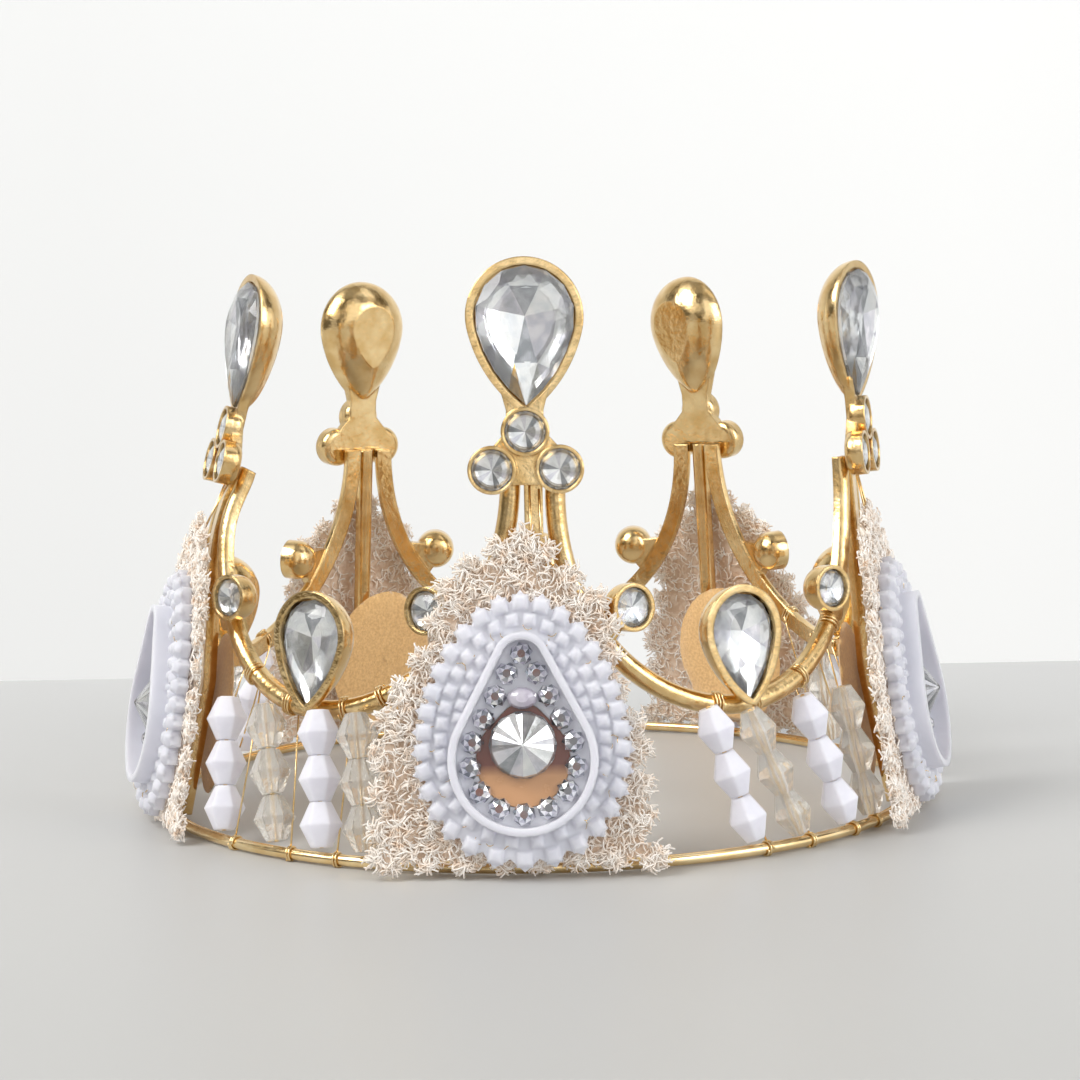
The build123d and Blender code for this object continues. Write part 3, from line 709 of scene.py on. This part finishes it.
piece_from(scroll_heap, "scroll_round_cut", stone_looks, "crystal", ["scroll_stones"])
print("crest rounds", offset_from("crest_round_stones", "crest_round_cut"))
print("scroll rounds", offset_from("scroll_stones", "scroll_round_cut"))

# %% [markdown]
# ## Where the small stones go
# Sixteen small flat-backed stones were glued inside each medallion's pear rim. They could be placed one by
# one, but they follow the rim at one distance from it, so their path is the same pear with both of its
# radii made smaller, walked in even steps.

# %% Path of the small stones
rim_foot, rim_length = 5.1, 25.3
rim_radius, rim_tip_radius = 9.35, 3.6
gem_inset = 2.65
gem_count = 16


def gem_path():
    """Rounded pear, one inset inside the rim, as a function of 0 to 1 from its tip."""
    low, high = rim_foot + rim_radius, rim_foot + rim_length - rim_tip_radius
    big, small = rim_radius - gem_inset, rim_tip_radius - gem_inset
    slope = math.asin((big - small) / (high - low))
    tip_turns = np.linspace(0, math.pi / 2 - slope, 12)
    end_turns = np.linspace(math.pi / 2 - slope, math.pi, 60)
    path = [(small * math.sin(a), high + small * math.cos(a)) for a in tip_turns]
    path += [(big * math.sin(a), low + big * math.cos(a)) for a in end_turns]
    path += [(-x, y) for x, y in reversed(path[:-1])]
    return even_walk(path)


gem_walk = gem_path()
gem_spots = [gem_walk(step / gem_count) for step in range(gem_count)]
print("first small stones", [np.round(spot, 1) for spot in gem_spots[:3]])

# %% [markdown]
# ## The cone stone
# The middle stone is a tall cone with its point outwards, cut in fourteen narrow facets. Foil only under its
# base would leave so tall a stone dark. So one shell of glass lies close over one shell of foil, half a facet
# apart. The foil's facets carry painted reflections, which go round from its white right side.

# %% Cone stone
cone_radius, cone_facets = 4.3, 14
# Painted reflections on the foil shell: silver at the right, lilac and grey elsewhere.
cone_painted_tones = (
    SILVER, SILVER, PAINTED_LILAC, PAINTED_LILAC, PAINTED_GREY, PAINTED_LILAC, PAINTED_LILAC,
    PAINTED_LILAC, PAINTED_GREY, PAINTED_LILAC, SILVER, PAINTED_LILAC, SILVER, PAINTED_LILAC,
)
glass_shell = [(0.02, 0.86), (0.9, 1.0), (1.5, 0.97), (3.9, 0.03)]
foil_shell = [(0.1, 0.80), (0.85, 0.93), (1.35, 0.90), (3.5, 0.03)]


def cone_shell(levels, turn, painted_tones, first):
    """One closed shell of the cone, as points, faces and looks, with its first corner's number."""
    outline = round_outline(cone_radius)
    points, faces, looks = [], [], []
    for height, share in levels:
        for corner in range(cone_facets):
            x, y = outline((corner + turn) / cone_facets)
            points.append((x * share, y * share, height))
    for step in range(len(levels) - 1):
        for corner in range(cone_facets):
            after = (corner + 1) % cone_facets
            low = first + step * cone_facets
            high = low + cone_facets
            faces.append((low + corner, low + after, high + after, high + corner))
            looks.append(painted_tones[corner % len(painted_tones)])
    top = first + (len(levels) - 1) * cone_facets
    faces.append(tuple(top + corner for corner in range(cone_facets)))
    faces.append(tuple(first + corner for corner in reversed(range(cone_facets))))
    ends = SILVER if turn else CLEAR
    return points, faces, looks + [ends, ends]


def cone_stone():
    """Glass shell and foil shell of the cone stone together."""
    points, faces, looks = cone_shell(glass_shell, 0.0, (CLEAR,), 0)
    inner = cone_shell(foil_shell, 0.5, cone_painted_tones, len(points))
    return points + inner[0], faces + inner[1], looks + inner[2]


cone_cut = cone_stone()
print("cone stone faces", len(cone_cut[1]))

# %% [markdown]
# ## Stones on the medallions
# Each small stone has a bright rim of facets round a dark middle: the rim takes foil and painted reflection
# tones, and the middle a painted dark reflection. Each was glued on any way round, so each gets a random
# turn. The oval is one smooth dome of lilac glass.

# %% Set the medallions
small_crown = [(0.0, 1.0), (0.3, 1.0), (0.8, 0.76), (1.2, 0.36)]
# Crown facets in foil and painted reflection tones, over a painted dark table.
small_cut = cut_stone(
    round_outline(1.48), 8, small_crown, (-0.01, 0.6), (0, 0, -0.02), crown=(PAINTED_GREY, SILVER, PAINTED_LILAC), table=PAINTED_DARK
)
oval_crown = [(0.0, 1.0), (0.7, 0.97), (1.3, 0.8), (1.7, 0.4)]
oval_points, oval_faces, _ = cut_stone(round_outline(1.4, 1.4), 14, oval_crown, (0, 0.6), (0, 0, -0.01))
cone_centre, oval_centre = 16.35, 22.2
medallion_back, floor_rise = 1.7, 1.03
medallion_looks = stone_looks + [painted_dark_table, lilac_glass]
for number in peaks:
    heap = Heap()
    rng = np.random.default_rng(20 + number)
    card = on_lace(number, medallion_back)
    for x, y in gem_spots:
        spin = Matrix.Rotation(rng.uniform(0, math.tau), 4, "Z")
        heap.add(*small_cut, card @ Matrix.Translation((x, y, floor_rise)) @ spin)
    heap.add(*cone_cut, card @ Matrix.Translation((0, cone_centre, floor_rise)))
    heap.add(oval_points, oval_faces, OVAL, card @ Matrix.Translation((0, oval_centre, floor_rise)))
    piece_from(heap, f"medallion_stones_{number}", medallion_looks, "crystal", [f"medallion_gems_{number}"])
print("small stones a medallion", gem_count)

# %% [markdown]
# ## Outline of the lace
# The lace is thick machine embroidery, cut along its own lobes. A picture of lace on a card would look flat
# from the side. Here the outline comes first: a few notches down each side, with a round lobe on each span
# between them, and a row of small lobes along the hem.

# %% Outline of a lace panel
lace_notches = [
    (-19.3, 0.7), (-19.1, 3.9), (-18.7, 8.0), (-18.9, 12.8), (-18.4, 17.6), (-17.0, 22.2), (-14.6, 25.9),
    (-11.6, 29.8), (-11.0, 34.4), (-8.8, 38.2), (-4.7, 40.4), (-2.0, 43.0), (2.9, 42.8), (4.7, 39.4),
    (8.4, 36.6), (11.6, 33.2), (12.0, 29.4), (11.9, 25.6), (13.2, 21.2), (15.6, 17.6), (15.2, 13.0),
    (15.9, 9.0), (15.8, 4.8), (18.4, 0.7),
]
side_bulge, hem_bulge = 0.28, 0.13
hem_lobes, hem_height = 8, 0.9
lobe_points = 8


def lobed_outline():
    """Points round the panel, with a lobe on each span between notches, and each lobe's span and bulge."""
    spans = [(start, end, side_bulge) for start, end in zip(lace_notches, lace_notches[1:])]
    right, left = lace_notches[-1], lace_notches[0]
    pitch = (right[0] - left[0]) / hem_lobes
    for lobe in range(hem_lobes):
        start = right[0] - lobe * pitch
        spans.append(((start, hem_height), (start - pitch, hem_height), hem_bulge))
    outline = []
    for (x0, y0), (x1, y1), bulge in spans:
        way = Vector((x1 - x0, y1 - y0))
        side = Vector((-way.y, way.x))
        for step in range(lobe_points):
            share = step / lobe_points
            spot = Vector((x0, y0)) + way * share + side * bulge * 4 * share * (1 - share)
            outline.append((spot.x, spot.y))
    return np.array(outline), spans


lace_edge, lace_spans = lobed_outline()
print("lace outline points", len(lace_edge), "lobes", len(lace_spans))

# %% [markdown]
# ## Random spots inside the outline
# The stitches in front lie everywhere inside the outline except where the medallion hides them, and those
# at the back lie everywhere. Spots on a grid would show as rows. So random spots are tried, and those that
# fall outside the outline, too near its edge or under the medallion's oval are dropped.

# %% Scatter inside the outline
hidden_across, hidden_up, hidden_centre = 12.0, 15.6, 18.0


def inside(spots, outline):
    """Which spots lie inside a closed outline."""
    x, y = spots[:, 0], spots[:, 1]
    hit = np.zeros(len(spots), dtype=bool)
    for (x0, y0), (x1, y1) in zip(outline, np.roll(outline, -1, axis=0)):
        crosses = (y0 > y) != (y1 > y)
        with np.errstate(divide="ignore", invalid="ignore"):
            edge = (x1 - x0) * (y - y0) / (y1 - y0 + 1e-12) + x0
        hit ^= crosses & (x < edge)
    return hit


def from_edge(spots, outline):
    """Distance of each spot from the nearest outline point."""
    gaps = spots[:, None, :] - outline[None, :, :]
    return np.sqrt((gaps ** 2).sum(axis=2)).min(axis=1)


def scatter(rng, wanted, keep):
    """Random spots inside the lace outline for which keep is true."""
    spots = np.empty((0, 2))
    low, high = lace_edge.min(axis=0), lace_edge.max(axis=0)
    while len(spots) < wanted:
        tries = rng.uniform(low, high, (wanted * 2, 2))
        tries = tries[inside(tries, lace_edge)]
        spots = np.concatenate([spots, tries[keep(tries)]])
    return spots[:wanted]


def outside_medallion(spots):
    """Spots that the medallion doesn't hide from the front."""
    along, up = spots[:, 0] / hidden_across, (spots[:, 1] - hidden_centre) / hidden_up
    return along ** 2 + up ** 2 > 1


middle_spot = np.array([[0.0, hidden_centre]])
print("middle is inside", inside(middle_spot, lace_edge), "and in view", outside_medallion(middle_spot))

# %% [markdown]
# ## Curls of thread
# The embroidery is thousands of short stitches that stand up from the ground. Hair could be grown on the
# panel, but a stitch is short, thick and bent, and both of its ends are sewn down. So each stitch is a tube
# with three sides and four stations, bent sideways and arched up, and numpy makes them all at once.

# %% Curls of thread
thread_width = (0.12, 0.165)


def curls(rng, spots, depth, reach, bend, thick, heading=None):
    """Bent three-sided tubes centred on the spots: four stations each, lying roughly in the panel."""
    count = len(spots)
    turn = rng.uniform(0, math.tau, count) if heading is None else heading
    way = np.stack([np.cos(turn), np.sin(turn)], axis=1)
    side = np.stack([-way[:, 1], way[:, 0]], axis=1)
    length = rng.uniform(*reach, count)[:, None]
    curve = rng.uniform(*bend, count)[:, None] * rng.choice([-1, 1], count)[:, None]
    arch = rng.uniform(-0.1, 0.45, count)
    tilt = rng.uniform(-0.35, 0.35, count)
    width = rng.uniform(*thick, count)
    stations = []
    for along in (-1.0, -0.33, 0.33, 1.0):
        flat = spots + length / 2 * (way * along + side * curve * (1 - along * along))
        rise = depth + arch * (1 - along * along) + tilt * along
        for angle in (90, 210, 330):
            outward = width * math.cos(math.radians(angle))
            upward = width * math.sin(math.radians(angle))
            stations.append(np.column_stack([flat + side * outward[:, None], rise + upward]))
    points = np.stack(stations, axis=1).reshape(-1, 3)
    tube = []
    for station in range(3):
        for corner in range(3):
            after = (corner + 1) % 3
            low, high = station * 3, station * 3 + 3
            tube.append((low + corner, low + after, high + after, high + corner))
    tube += [(0, 2, 1), (9, 10, 11)]
    starts = np.arange(count) * 12
    return points, [tuple(int(s + c) for c in face) for s in starts for face in tube]


def stitch(heap, card, rng, spots, depths, reach, bend, width=thread_width, heading=None):
    """Add a curl at each spot, at a random depth between two, measured from the panel's back."""
    depth = rng.uniform(*depths, len(spots))
    heap.add(*curls(rng, spots, depth, reach, bend, width, heading), 0, card)


print("curl helpers", curls.__name__, stitch.__name__)

# %% [markdown]
# ## Tufts
# Seen close, the stitches aren't even: they spread from centres like small flowers, most of all in the
# lobes round the edge. So besides an even scatter there are florets, whose stitches point away from their
# centres.

# %% Florets and lobes
lobe_inset, lobe_share = 0.12, 0.44
hem_reach, lowest_centre = 1.6, 1.3


def florets(rng, centres, reach, each):
    """Spots and headings of stitches that spread from each centre like a small flower."""
    count = len(centres) * each
    angle = rng.uniform(0, math.tau, count)
    far = rng.uniform(0.25, 1.0, count) * np.repeat(reach, each)
    around = np.column_stack([np.cos(angle), np.sin(angle)])
    spots = np.repeat(centres, each, axis=0) + around * far[:, None] * 0.7
    return spots, angle + rng.normal(0, 0.45, count)


def lobe_centres():
    """Centre and reach of a tuft for each lobe of the outline."""
    centres, reach = [], []
    for (x0, y0), (x1, y1), bulge in lace_spans:
        way = Vector((x1 - x0, y1 - y0))
        middle = Vector(((x0 + x1) / 2, (y0 + y1) / 2))
        if bulge == side_bulge:
            middle -= Vector((-way.y, way.x)) * lobe_inset
        centres.append((middle.x, max(middle.y, lowest_centre)))
        reach.append(way.length * lobe_share if bulge == side_bulge else hem_reach)
    return np.array(centres), np.array(reach)


lobe_middles, lobe_reach = lobe_centres()
print("lobe tufts", len(lobe_middles))

# %% [markdown]
# ## Lace ground
# Under the stitches lies a fine woven ground. It is the sheet that the panel is made from, so it is one
# light layer of small cells, a little wavy, that stops just inside the outline.

# %% Grid of the lace ground
ground_cell, ground_margin = 0.9, 0.8
ground_height, ground_wave = 0.75, 0.12


def panel_ground(outline):
    """Cells inside the outline, a little wavy, with their whole area in square millimetres."""
    low, high = outline.min(axis=0), outline.max(axis=0)
    columns, rows = [int((high[axis] - low[axis]) / ground_cell) + 1 for axis in (0, 1)]
    ys, xs = np.mgrid[0:rows + 1, 0:columns + 1]
    grid = low + np.column_stack([xs.ravel(), ys.ravel()]) * ground_cell
    usable = inside(grid, outline) & (from_edge(grid, outline) > ground_margin)
    points, index, faces = [], {}, []
    for row in range(rows):
        for column in range(columns):
            near = row * (columns + 1) + column
            far = near + columns + 1
            corners = [near, near + 1, far + 1, far]
            if not all(usable[corner] for corner in corners):
                continue
            for corner in corners:
                if corner not in index:
                    x, y = grid[corner]
                    index[corner] = len(points)
                    points.append((x, y, ground_height + ground_wave * math.sin(x * 0.9) * math.cos(y * 0.7)))
            faces.append(tuple(index[corner] for corner in corners))
    return points, faces, len(faces) * ground_cell * ground_cell


ground_points, ground_faces, ground_area = panel_ground(lace_edge)
print("ground cells a panel", len(ground_faces), "area in square mm", round(ground_area))

# %% [markdown]
# ## The five panels
# Each panel gets its own scatter: stitches in front where the medallion leaves them in view, more behind
# against the light, florets over both, a tuft on each lobe, and a few loose gold bits caught on the studs.
# The ground is the sheet, held flat between the stem and the medallion, and the threads are sewn on it.

# %% Lace panels
front_count, back_count, floret_count = 1500, 1100, 60
floret_reach, floret_stitches, lobe_stitches = 1.9, 16, 46
hem_clear = 0.75
loose_count, loose_depth, loose_width = 26, 3.35, (0.05, 0.08)
for number in peaks:
    rng = np.random.default_rng(40 + number)
    card = on_lace(number)
    heap = Heap()
    heap.add(ground_points, ground_faces, 0, card)
    cloth = piece_from(heap, f"lace_ground_{number}", [ground], "lace", [f"lace_{number}"], smooth=True)

    heap = Heap()
    spots = scatter(rng, front_count, lambda s: outside_medallion(s) & (from_edge(s, lace_edge) > 0.9))
    stitch(heap, card, rng, spots, (0.7, 1.4), (1.1, 2.2), (0.1, 0.7))
    spots = scatter(rng, back_count, lambda s: from_edge(s, lace_edge) > 0.7)
    stitch(heap, card, rng, spots, (0.15, 0.6), (1.2, 2.4), (0.1, 0.7), width=(0.12, 0.16))
    middles = scatter(rng, floret_count, lambda s: outside_medallion(s) & (from_edge(s, lace_edge) > 1.9))
    spots, heading = florets(rng, middles, np.full(floret_count, floret_reach), floret_stitches)
    stitch(heap, card, rng, spots, (0.9, 1.6), (1.0, 1.9), (0.0, 0.5), heading=heading)
    spots, heading = florets(rng, lobe_middles, lobe_reach, lobe_stitches)
    keep = spots[:, 1] > hem_clear
    stitch(heap, card, rng, spots[keep], (0.3, 1.5), (1.1, 2.0), (0.0, 0.6), heading=heading[keep])

    turns = rng.uniform(0, math.tau, loose_count)
    loose = np.column_stack([11.3 * np.sin(turns), 17.0 - 13.6 * np.cos(turns)])
    loose += rng.normal(0, 0.6, (loose_count, 2))
    depth = np.full(loose_count, loose_depth)
    heap.add(*curls(rng, loose, depth, (0.8, 1.6), (0.3, 0.9), loose_width), 1, card)
    threads = piece_from(heap, f"lace_threads_{number}", [thread, wire_gilt], "lace", smooth=True)
print("thread faces a panel", len(threads.data.polygons))

# %% [markdown]
# ## Felt pads
# Behind each medallion a soft felt oval covers the stitches. It is thin, slightly puffed, with a rough
# surface and a ragged edge. It is glued flat, so no cloth simulation is needed: a crowned disc pushed about
# by small random dents has the right shape.

# %% Felt ovals
pad_half_width, pad_half_height, pad_puff = 9.5, 11.5, 0.6
pad_radius, pad_height, pad_drop = 48.058, 19.5, -4.567
pad_shifts = [0, 0, -4.5, -3.0, 0]
pad_ragged, pad_dent = 0.006, 0.03
rings, around = 14, 72


def pad_points(rng):
    """Two crowned sides of the pad, each ring of points a little ragged and dented."""
    points = []
    for bulge in (pad_puff, -pad_puff):
        for ring in range(rings + 1):
            share = ring / rings
            for step in range(around):
                angle = math.tau * step / around
                ragged = 1 + rng.uniform(-pad_ragged, pad_ragged) * share
                dent = rng.uniform(-pad_dent, pad_dent) * (share < 1)
                x = pad_half_width * share * ragged * math.cos(angle)
                y = pad_half_height * share * ragged * math.sin(angle)
                points.append((x, y, -pad_puff + bulge * (1 - share ** 8) + dent))
    return points


def pad_faces():
    """Quads of both sides and the rim between them."""
    faces = []
    side = (rings + 1) * around
    for front in (True, False):
        for ring in range(rings):
            for step in range(around):
                after = (step + 1) % around
                inner = ring * around + (0 if front else side)
                outer = inner + around
                quad = (inner + step, outer + step, outer + after, inner + after)
                faces.append(quad if front else quad[::-1])
    low, high = rings * around, side + rings * around
    for step in range(around):
        after = (step + 1) % around
        faces.append((low + step, high + step, high + after, low + after))
    return faces


for number in peaks:
    rng = np.random.default_rng(80 + number)
    place = leaning_card(number, pad_radius, pad_height, (pad_shifts[number - 1], pad_drop, 0))
    heap = Heap()
    heap.add(pad_points(rng), pad_faces(), 0, place)
    pad = piece_from(heap, f"felt_pad_{number}", [felt], "felt", [f"backing_pad_{number}"], smooth=True)
print("felt pads", len(peaks), "points each", len(pad.data.vertices))

# %% [markdown]
# ## Wire
# The binding wire is about 0.3 mm thick. A curve object with a bevel would do, but a plain swept tube goes
# into the same heap as every other piece, so one short helper sweeps a ring of points along a path.

# %% Wire from a path of points
wire_sides = 6


def wire(heap, path, radius):
    """Round wire along a path of points in millimetres."""
    path = [Vector(spot) for spot in path]
    normal = None
    points, faces = [], []
    for step, spot in enumerate(path):
        ahead = path[min(step + 1, len(path) - 1)] - path[max(step - 1, 0)]
        ahead.normalize()
        if normal is None:
            normal = ahead.orthogonal().normalized()
        normal = (normal - ahead * normal.dot(ahead)).normalized()
        across = ahead.cross(normal)
        for side in range(wire_sides):
            angle = math.tau * side / wire_sides
            points.append(tuple(spot + (normal * math.cos(angle) + across * math.sin(angle)) * radius))
    for step in range(len(path) - 1):
        for side in range(wire_sides):
            after = (side + 1) % wire_sides
            low, high = step * wire_sides, step * wire_sides + wire_sides
            faces.append((low + side, low + after, high + after, high + side))
    last = (len(path) - 1) * wire_sides
    faces.append(tuple(reversed(range(wire_sides))))
    faces.append(tuple(last + side for side in range(wire_sides)))
    heap.add(points, faces, 0)


def winding(place, half_across, half_out, turns, pitch, start):
    """Path round a bar in a place whose z runs along the bar."""
    steps = int(turns * 16)
    path = []
    for step in range(steps + 1):
        angle = start + math.tau * turns * step / steps
        along = pitch * (step / steps - 0.5) * turns
        path.append(place @ Vector((half_across * math.cos(angle), half_out * math.sin(angle), along)))
    return path


print("wire helpers", wire.__name__, winding.__name__)

# %% [markdown]
# ## Ties of the bead strings
# Each string is tied to the ring below and the swag above: two turns or so round each bar, and a straight
# return run behind the beads. The strings of the two front bays lean to one side. The swag isn't a circle,
# so its centre line is worked out as for the castings: half an ellipse on the cone, bent in near one crest.

# %% Ties on the ring and the swags
even_strands = [(-12.0, -13.0), (-4.0, -4.6), (4.5, 3.4), (12.5, 12.0)]
bay_strands = [
    [(-5.8, -10.9), (2.1, -3.8), (11.9, 6.8), (18.5, 17.0)],
    even_strands,
    even_strands,
    even_strands,
    [(-14.0, -18.5), (-2.5, -8.6), (5.4, 2.4), (12.3, 9.0)],
]
bar_bends = [0, 0, 0, 0, 3.3]
bar_half_span, bar_top, bar_drop, bend_height = 32.4, 50.0, 31.0, 36.0
ring_radius, ring_height = 55, 0.75
tie_beside_foot, tie_beside_head = 2.2, 3.0


def swag_spot(number, azimuth):
    """Place at a swag bar's centre line, at an azimuth from the middle of its bay."""
    turns = np.linspace(0, math.pi, 181)
    azimuths = valley_bends[number - 1][0] * np.sin(turns) - bar_half_span * np.cos(turns)
    turn = np.interp(azimuth, azimuths, turns)
    height = bar_top - bar_drop * math.sin(turn)
    bend = bar_bends[number - 1] if azimuth < 0 else bar_bends[number % 5]
    share = max(0, (height - bend_height) / (bar_top - bend_height)) ** 2
    return on_cone(peak_step * (number - 1) + half_step + azimuth, height, -bend * share)


ties = Heap()
for number in peaks:
    valley = peak_step * (number - 1) + half_step
    for strand, (foot, head) in enumerate(bay_strands[number - 1]):
        turn = math.radians(valley + foot + tie_beside_foot)
        outward = Vector((math.sin(turn), -math.cos(turn), 0))
        spot = outward * ring_radius + Vector((0, 0, ring_height))
        round_ring = placed(spot, outward, Vector((math.cos(turn), math.sin(turn), 0)))
        wire(ties, winding(round_ring, 0.92, 0.92, 2, 0.42, strand), 0.17)
        bar = swag_spot(number, head + tie_beside_head)
        ahead = (swag_spot(number, head + tie_beside_head + 0.4).translation - bar.translation).normalized()
        outward = Vector(bar.col[2][:3])
        across = outward.cross(ahead)
        rows = [(across[i], outward[i], ahead[i], bar.translation[i]) for i in range(3)]
        round_bar = Matrix(rows + [(0, 0, 0, 1)])
        wire(ties, winding(round_bar, 1.55, 1.25, 2.5, 0.5, strand), 0.15)
        top = bar.translation - outward * 1.3
        middle = (top + spot) / 2 - Vector((0, 0, 0.3))
        wire(ties, [top, middle, spot + Vector((0, 0, 0.8))], 0.14)
piece_from(ties, "binding_wires", [wire_gilt], "gilt", smooth=True)
print("ties", sum(len(bay) for bay in bay_strands))

# %% [markdown]
# ## Stem wires
# Two wires run down each stem from the crest and vanish into the lace, to hold the panel. They could be
# wound like the ties, but in the photograph they run nearly straight, so three points are enough for each.

# %% Stem wires
stem_top, stem_out, stem_bend = 48.0, 1.25, 0.73
lace_face = 1.0
stems = Heap()
for number in peaks:
    stem = on_cone(peak_step * (number - 1), stem_top, stem_out - bar_bends[number - 1] * stem_bend)
    card = on_lace(number, lace_face)
    middle = -panel_shifts[number - 1]
    high, low = stem @ Vector((0.7, 0, 0)), card @ Vector((middle + 0.9, 40.0, 0))
    wire(stems, [high, (high + low) / 2 + Vector((0, 0, 0.2)), low], 0.16)
    bend, low = stem @ Vector((-0.5, 0, 0)), card @ Vector((middle - 0.4, 39.0, 0))
    wire(stems, [stem @ Vector((-0.5, 0.5, 0)), (bend + low) / 2, low], 0.15)
piece_from(stems, "stem_wires", [wire_gilt], "gilt", smooth=True)
print("stem wires", 2 * len(peaks))

# %% [markdown]
# ## Table and wall
# The crown stands on a pale grey table with a near-white wall far behind it. The table ends just behind the
# crown. Light is painted into both: the table grows lighter towards the back, and the wall grows lighter to
# the right. Lights alone could do that, but painted light on two plain rectangles is easier to match to the
# photograph.

# %% Stage
def stage_with_painted_light(name, axis, start, end, low, high, rough):
    """Plain matt surface with painted light: its tone drifts along one axis between two places in metres."""
    finish, tree, shader = new_finish(name, Roughness=rough)
    colour = ramp(tree, along_axis(tree, axis, start, end), [(0.0, low), (1.0, high)])
    tree.links.new(colour, shader.inputs["Base Color"])
    return finish


def flat_panel(name, corners, finish):
    """One rectangle of the stage."""
    mesh = bpy.data.meshes.new(name)
    mesh.from_pydata(corners, [], [(0, 1, 2, 3)])
    mesh.materials.append(finish)
    panel = bpy.data.objects.new(name, mesh)
    bpy.context.scene.collection.objects.link(panel)
    panel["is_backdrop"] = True


table_back, table_reach, table_height = 0.129, 2, -0.0002
wall_back, wall_reach, wall_foot, wall_top = 1.2, 3, -1.5, 2.5
# Painted light: the table darker at the front and lighter at the back, the wall lighter to the right.
table_finish = stage_with_painted_light(
    "pale_table", "Y", -0.14, table_back, (0.475, 0.475, 0.465), (0.555, 0.56, 0.56), 0.45
)
wall_finish = stage_with_painted_light("pale_wall", "X", -0.3, 0.3, (0.89, 0.90, 0.90), (0.99, 1.0, 1.0), 0.9)
table_corners = [
    (-table_reach, -table_reach, table_height),
    (table_reach, -table_reach, table_height),
    (table_reach, table_back, table_height),
    (-table_reach, table_back, table_height),
]
wall_corners = [
    (-wall_reach, wall_back, wall_foot),
    (wall_reach, wall_back, wall_foot),
    (wall_reach, wall_back, wall_top),
    (-wall_reach, wall_back, wall_top),
]
flat_panel("table_top", table_corners, table_finish)
flat_panel("wall", wall_corners, wall_finish)
print("stage", table_finish.name, wall_finish.name)

# %% [markdown]
# ## Light
# Daylight comes from a window at the upper left, with a weaker and cooler fill from the right, and a third
# light washes the wall. A sun lamp would give hard shadows. Large area lights keep them soft, as in the
# photograph.

# %% Lights
def area_light(name, spot, aim, size, power, colour=(1, 1, 1)):
    """Square soft light at a spot, facing an aim, both in metres."""
    light = bpy.data.lights.new(name, "AREA")
    light.size, light.energy, light.color = size, power, colour
    lamp = bpy.data.objects.new(name, light)
    lamp.location = spot
    lamp.rotation_euler = (Vector(aim) - Vector(spot)).to_track_quat("-Z", "Y").to_euler()
    bpy.context.scene.collection.objects.link(lamp)


area_light("window", (-0.9, -0.5, 1.1), (0, 0, 0.03), 0.9, 16, (1.0, 0.99, 0.97))
area_light("fill", (1.1, -0.7, 0.6), (0, 0, 0.04), 0.8, 6, (0.97, 0.98, 1.0))
area_light("wall_wash", (0, 0.3, 1.2), (0, 1.2, 0.2), 1.5, 1.5)
print("lights", [light.name for light in bpy.data.lights])

# %% [markdown]
# ## Room
# Polished gold and foil show mostly the room. An even white world would leave them flat, so the world
# has broad patches from dark to bright for the metal to mirror, while the camera itself sees a plain
# near-white.

# %% Room
world = bpy.data.worlds.new("room")
bpy.context.scene.world = world
world.use_nodes = True
tree = world.node_tree
sky = tree.nodes["Background"]
where = tree.nodes.new("ShaderNodeTexCoord")
patches = tree.nodes.new("ShaderNodeTexNoise")
patches.inputs["Scale"].default_value = 1.6
patches.inputs["Detail"].default_value = 1.0
tree.links.new(where.outputs["Generated"], patches.inputs["Vector"])
room_stops = [(0.38, (0.13, 0.12, 0.10)), (0.5, (0.72, 0.71, 0.70)), (0.6, (1.05, 1.05, 1.05))]
tree.links.new(ramp(tree, patches.outputs["Fac"], room_stops), sky.inputs["Color"])
sky.inputs["Strength"].default_value = 1.15
plain = tree.nodes.new("ShaderNodeBackground")
plain.inputs["Color"].default_value = (0.92, 0.925, 0.92, 1)
path = tree.nodes.new("ShaderNodeLightPath")
either = tree.nodes.new("ShaderNodeMixShader")
tree.links.new(path.outputs["Is Camera Ray"], either.inputs["Fac"])
tree.links.new(sky.outputs["Background"], either.inputs[1])
tree.links.new(plain.outputs["Background"], either.inputs[2])
tree.links.new(either.outputs["Shader"], tree.nodes["World Output"].inputs["Surface"])
bpy.context.scene.view_settings.view_transform = "Standard"
print("room patches", len(room_stops))

# %% [markdown]
# ## Camera
# The photograph looks slightly down from a third of a metre away, with a short telephoto view and a tiny
# lean to one side. A camera could be placed by eye, but here the distance, the pitch and the lens were
# worked out from the ring, the crest tips and the valleys.

# %% Camera
lens_data = bpy.data.cameras.new("camera")
lens_data.lens, lens_data.sensor_width = 75.1, 36.0
lens_data.shift_x = 0.00535
lens_data.clip_start = 0.01
camera = bpy.data.objects.new("camera", lens_data)
pitch, roll = 0.0819, -0.0189
eye = (0, -0.3345, 0.0651)
facing = Matrix.Rotation(math.pi / 2 - pitch, 4, "X") @ Matrix.Rotation(roll, 4, "Z")
camera.matrix_world = Matrix.Translation(eye) @ facing
bpy.context.scene.collection.objects.link(camera)
bpy.context.scene.camera = camera
print("camera at", eye)

# %% [markdown]
# ## Size of the dressed crown
# The dressed crown should be no larger than the imported one, apart from a stray thread.

# %% Bounds of the dressed crown
low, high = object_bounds()
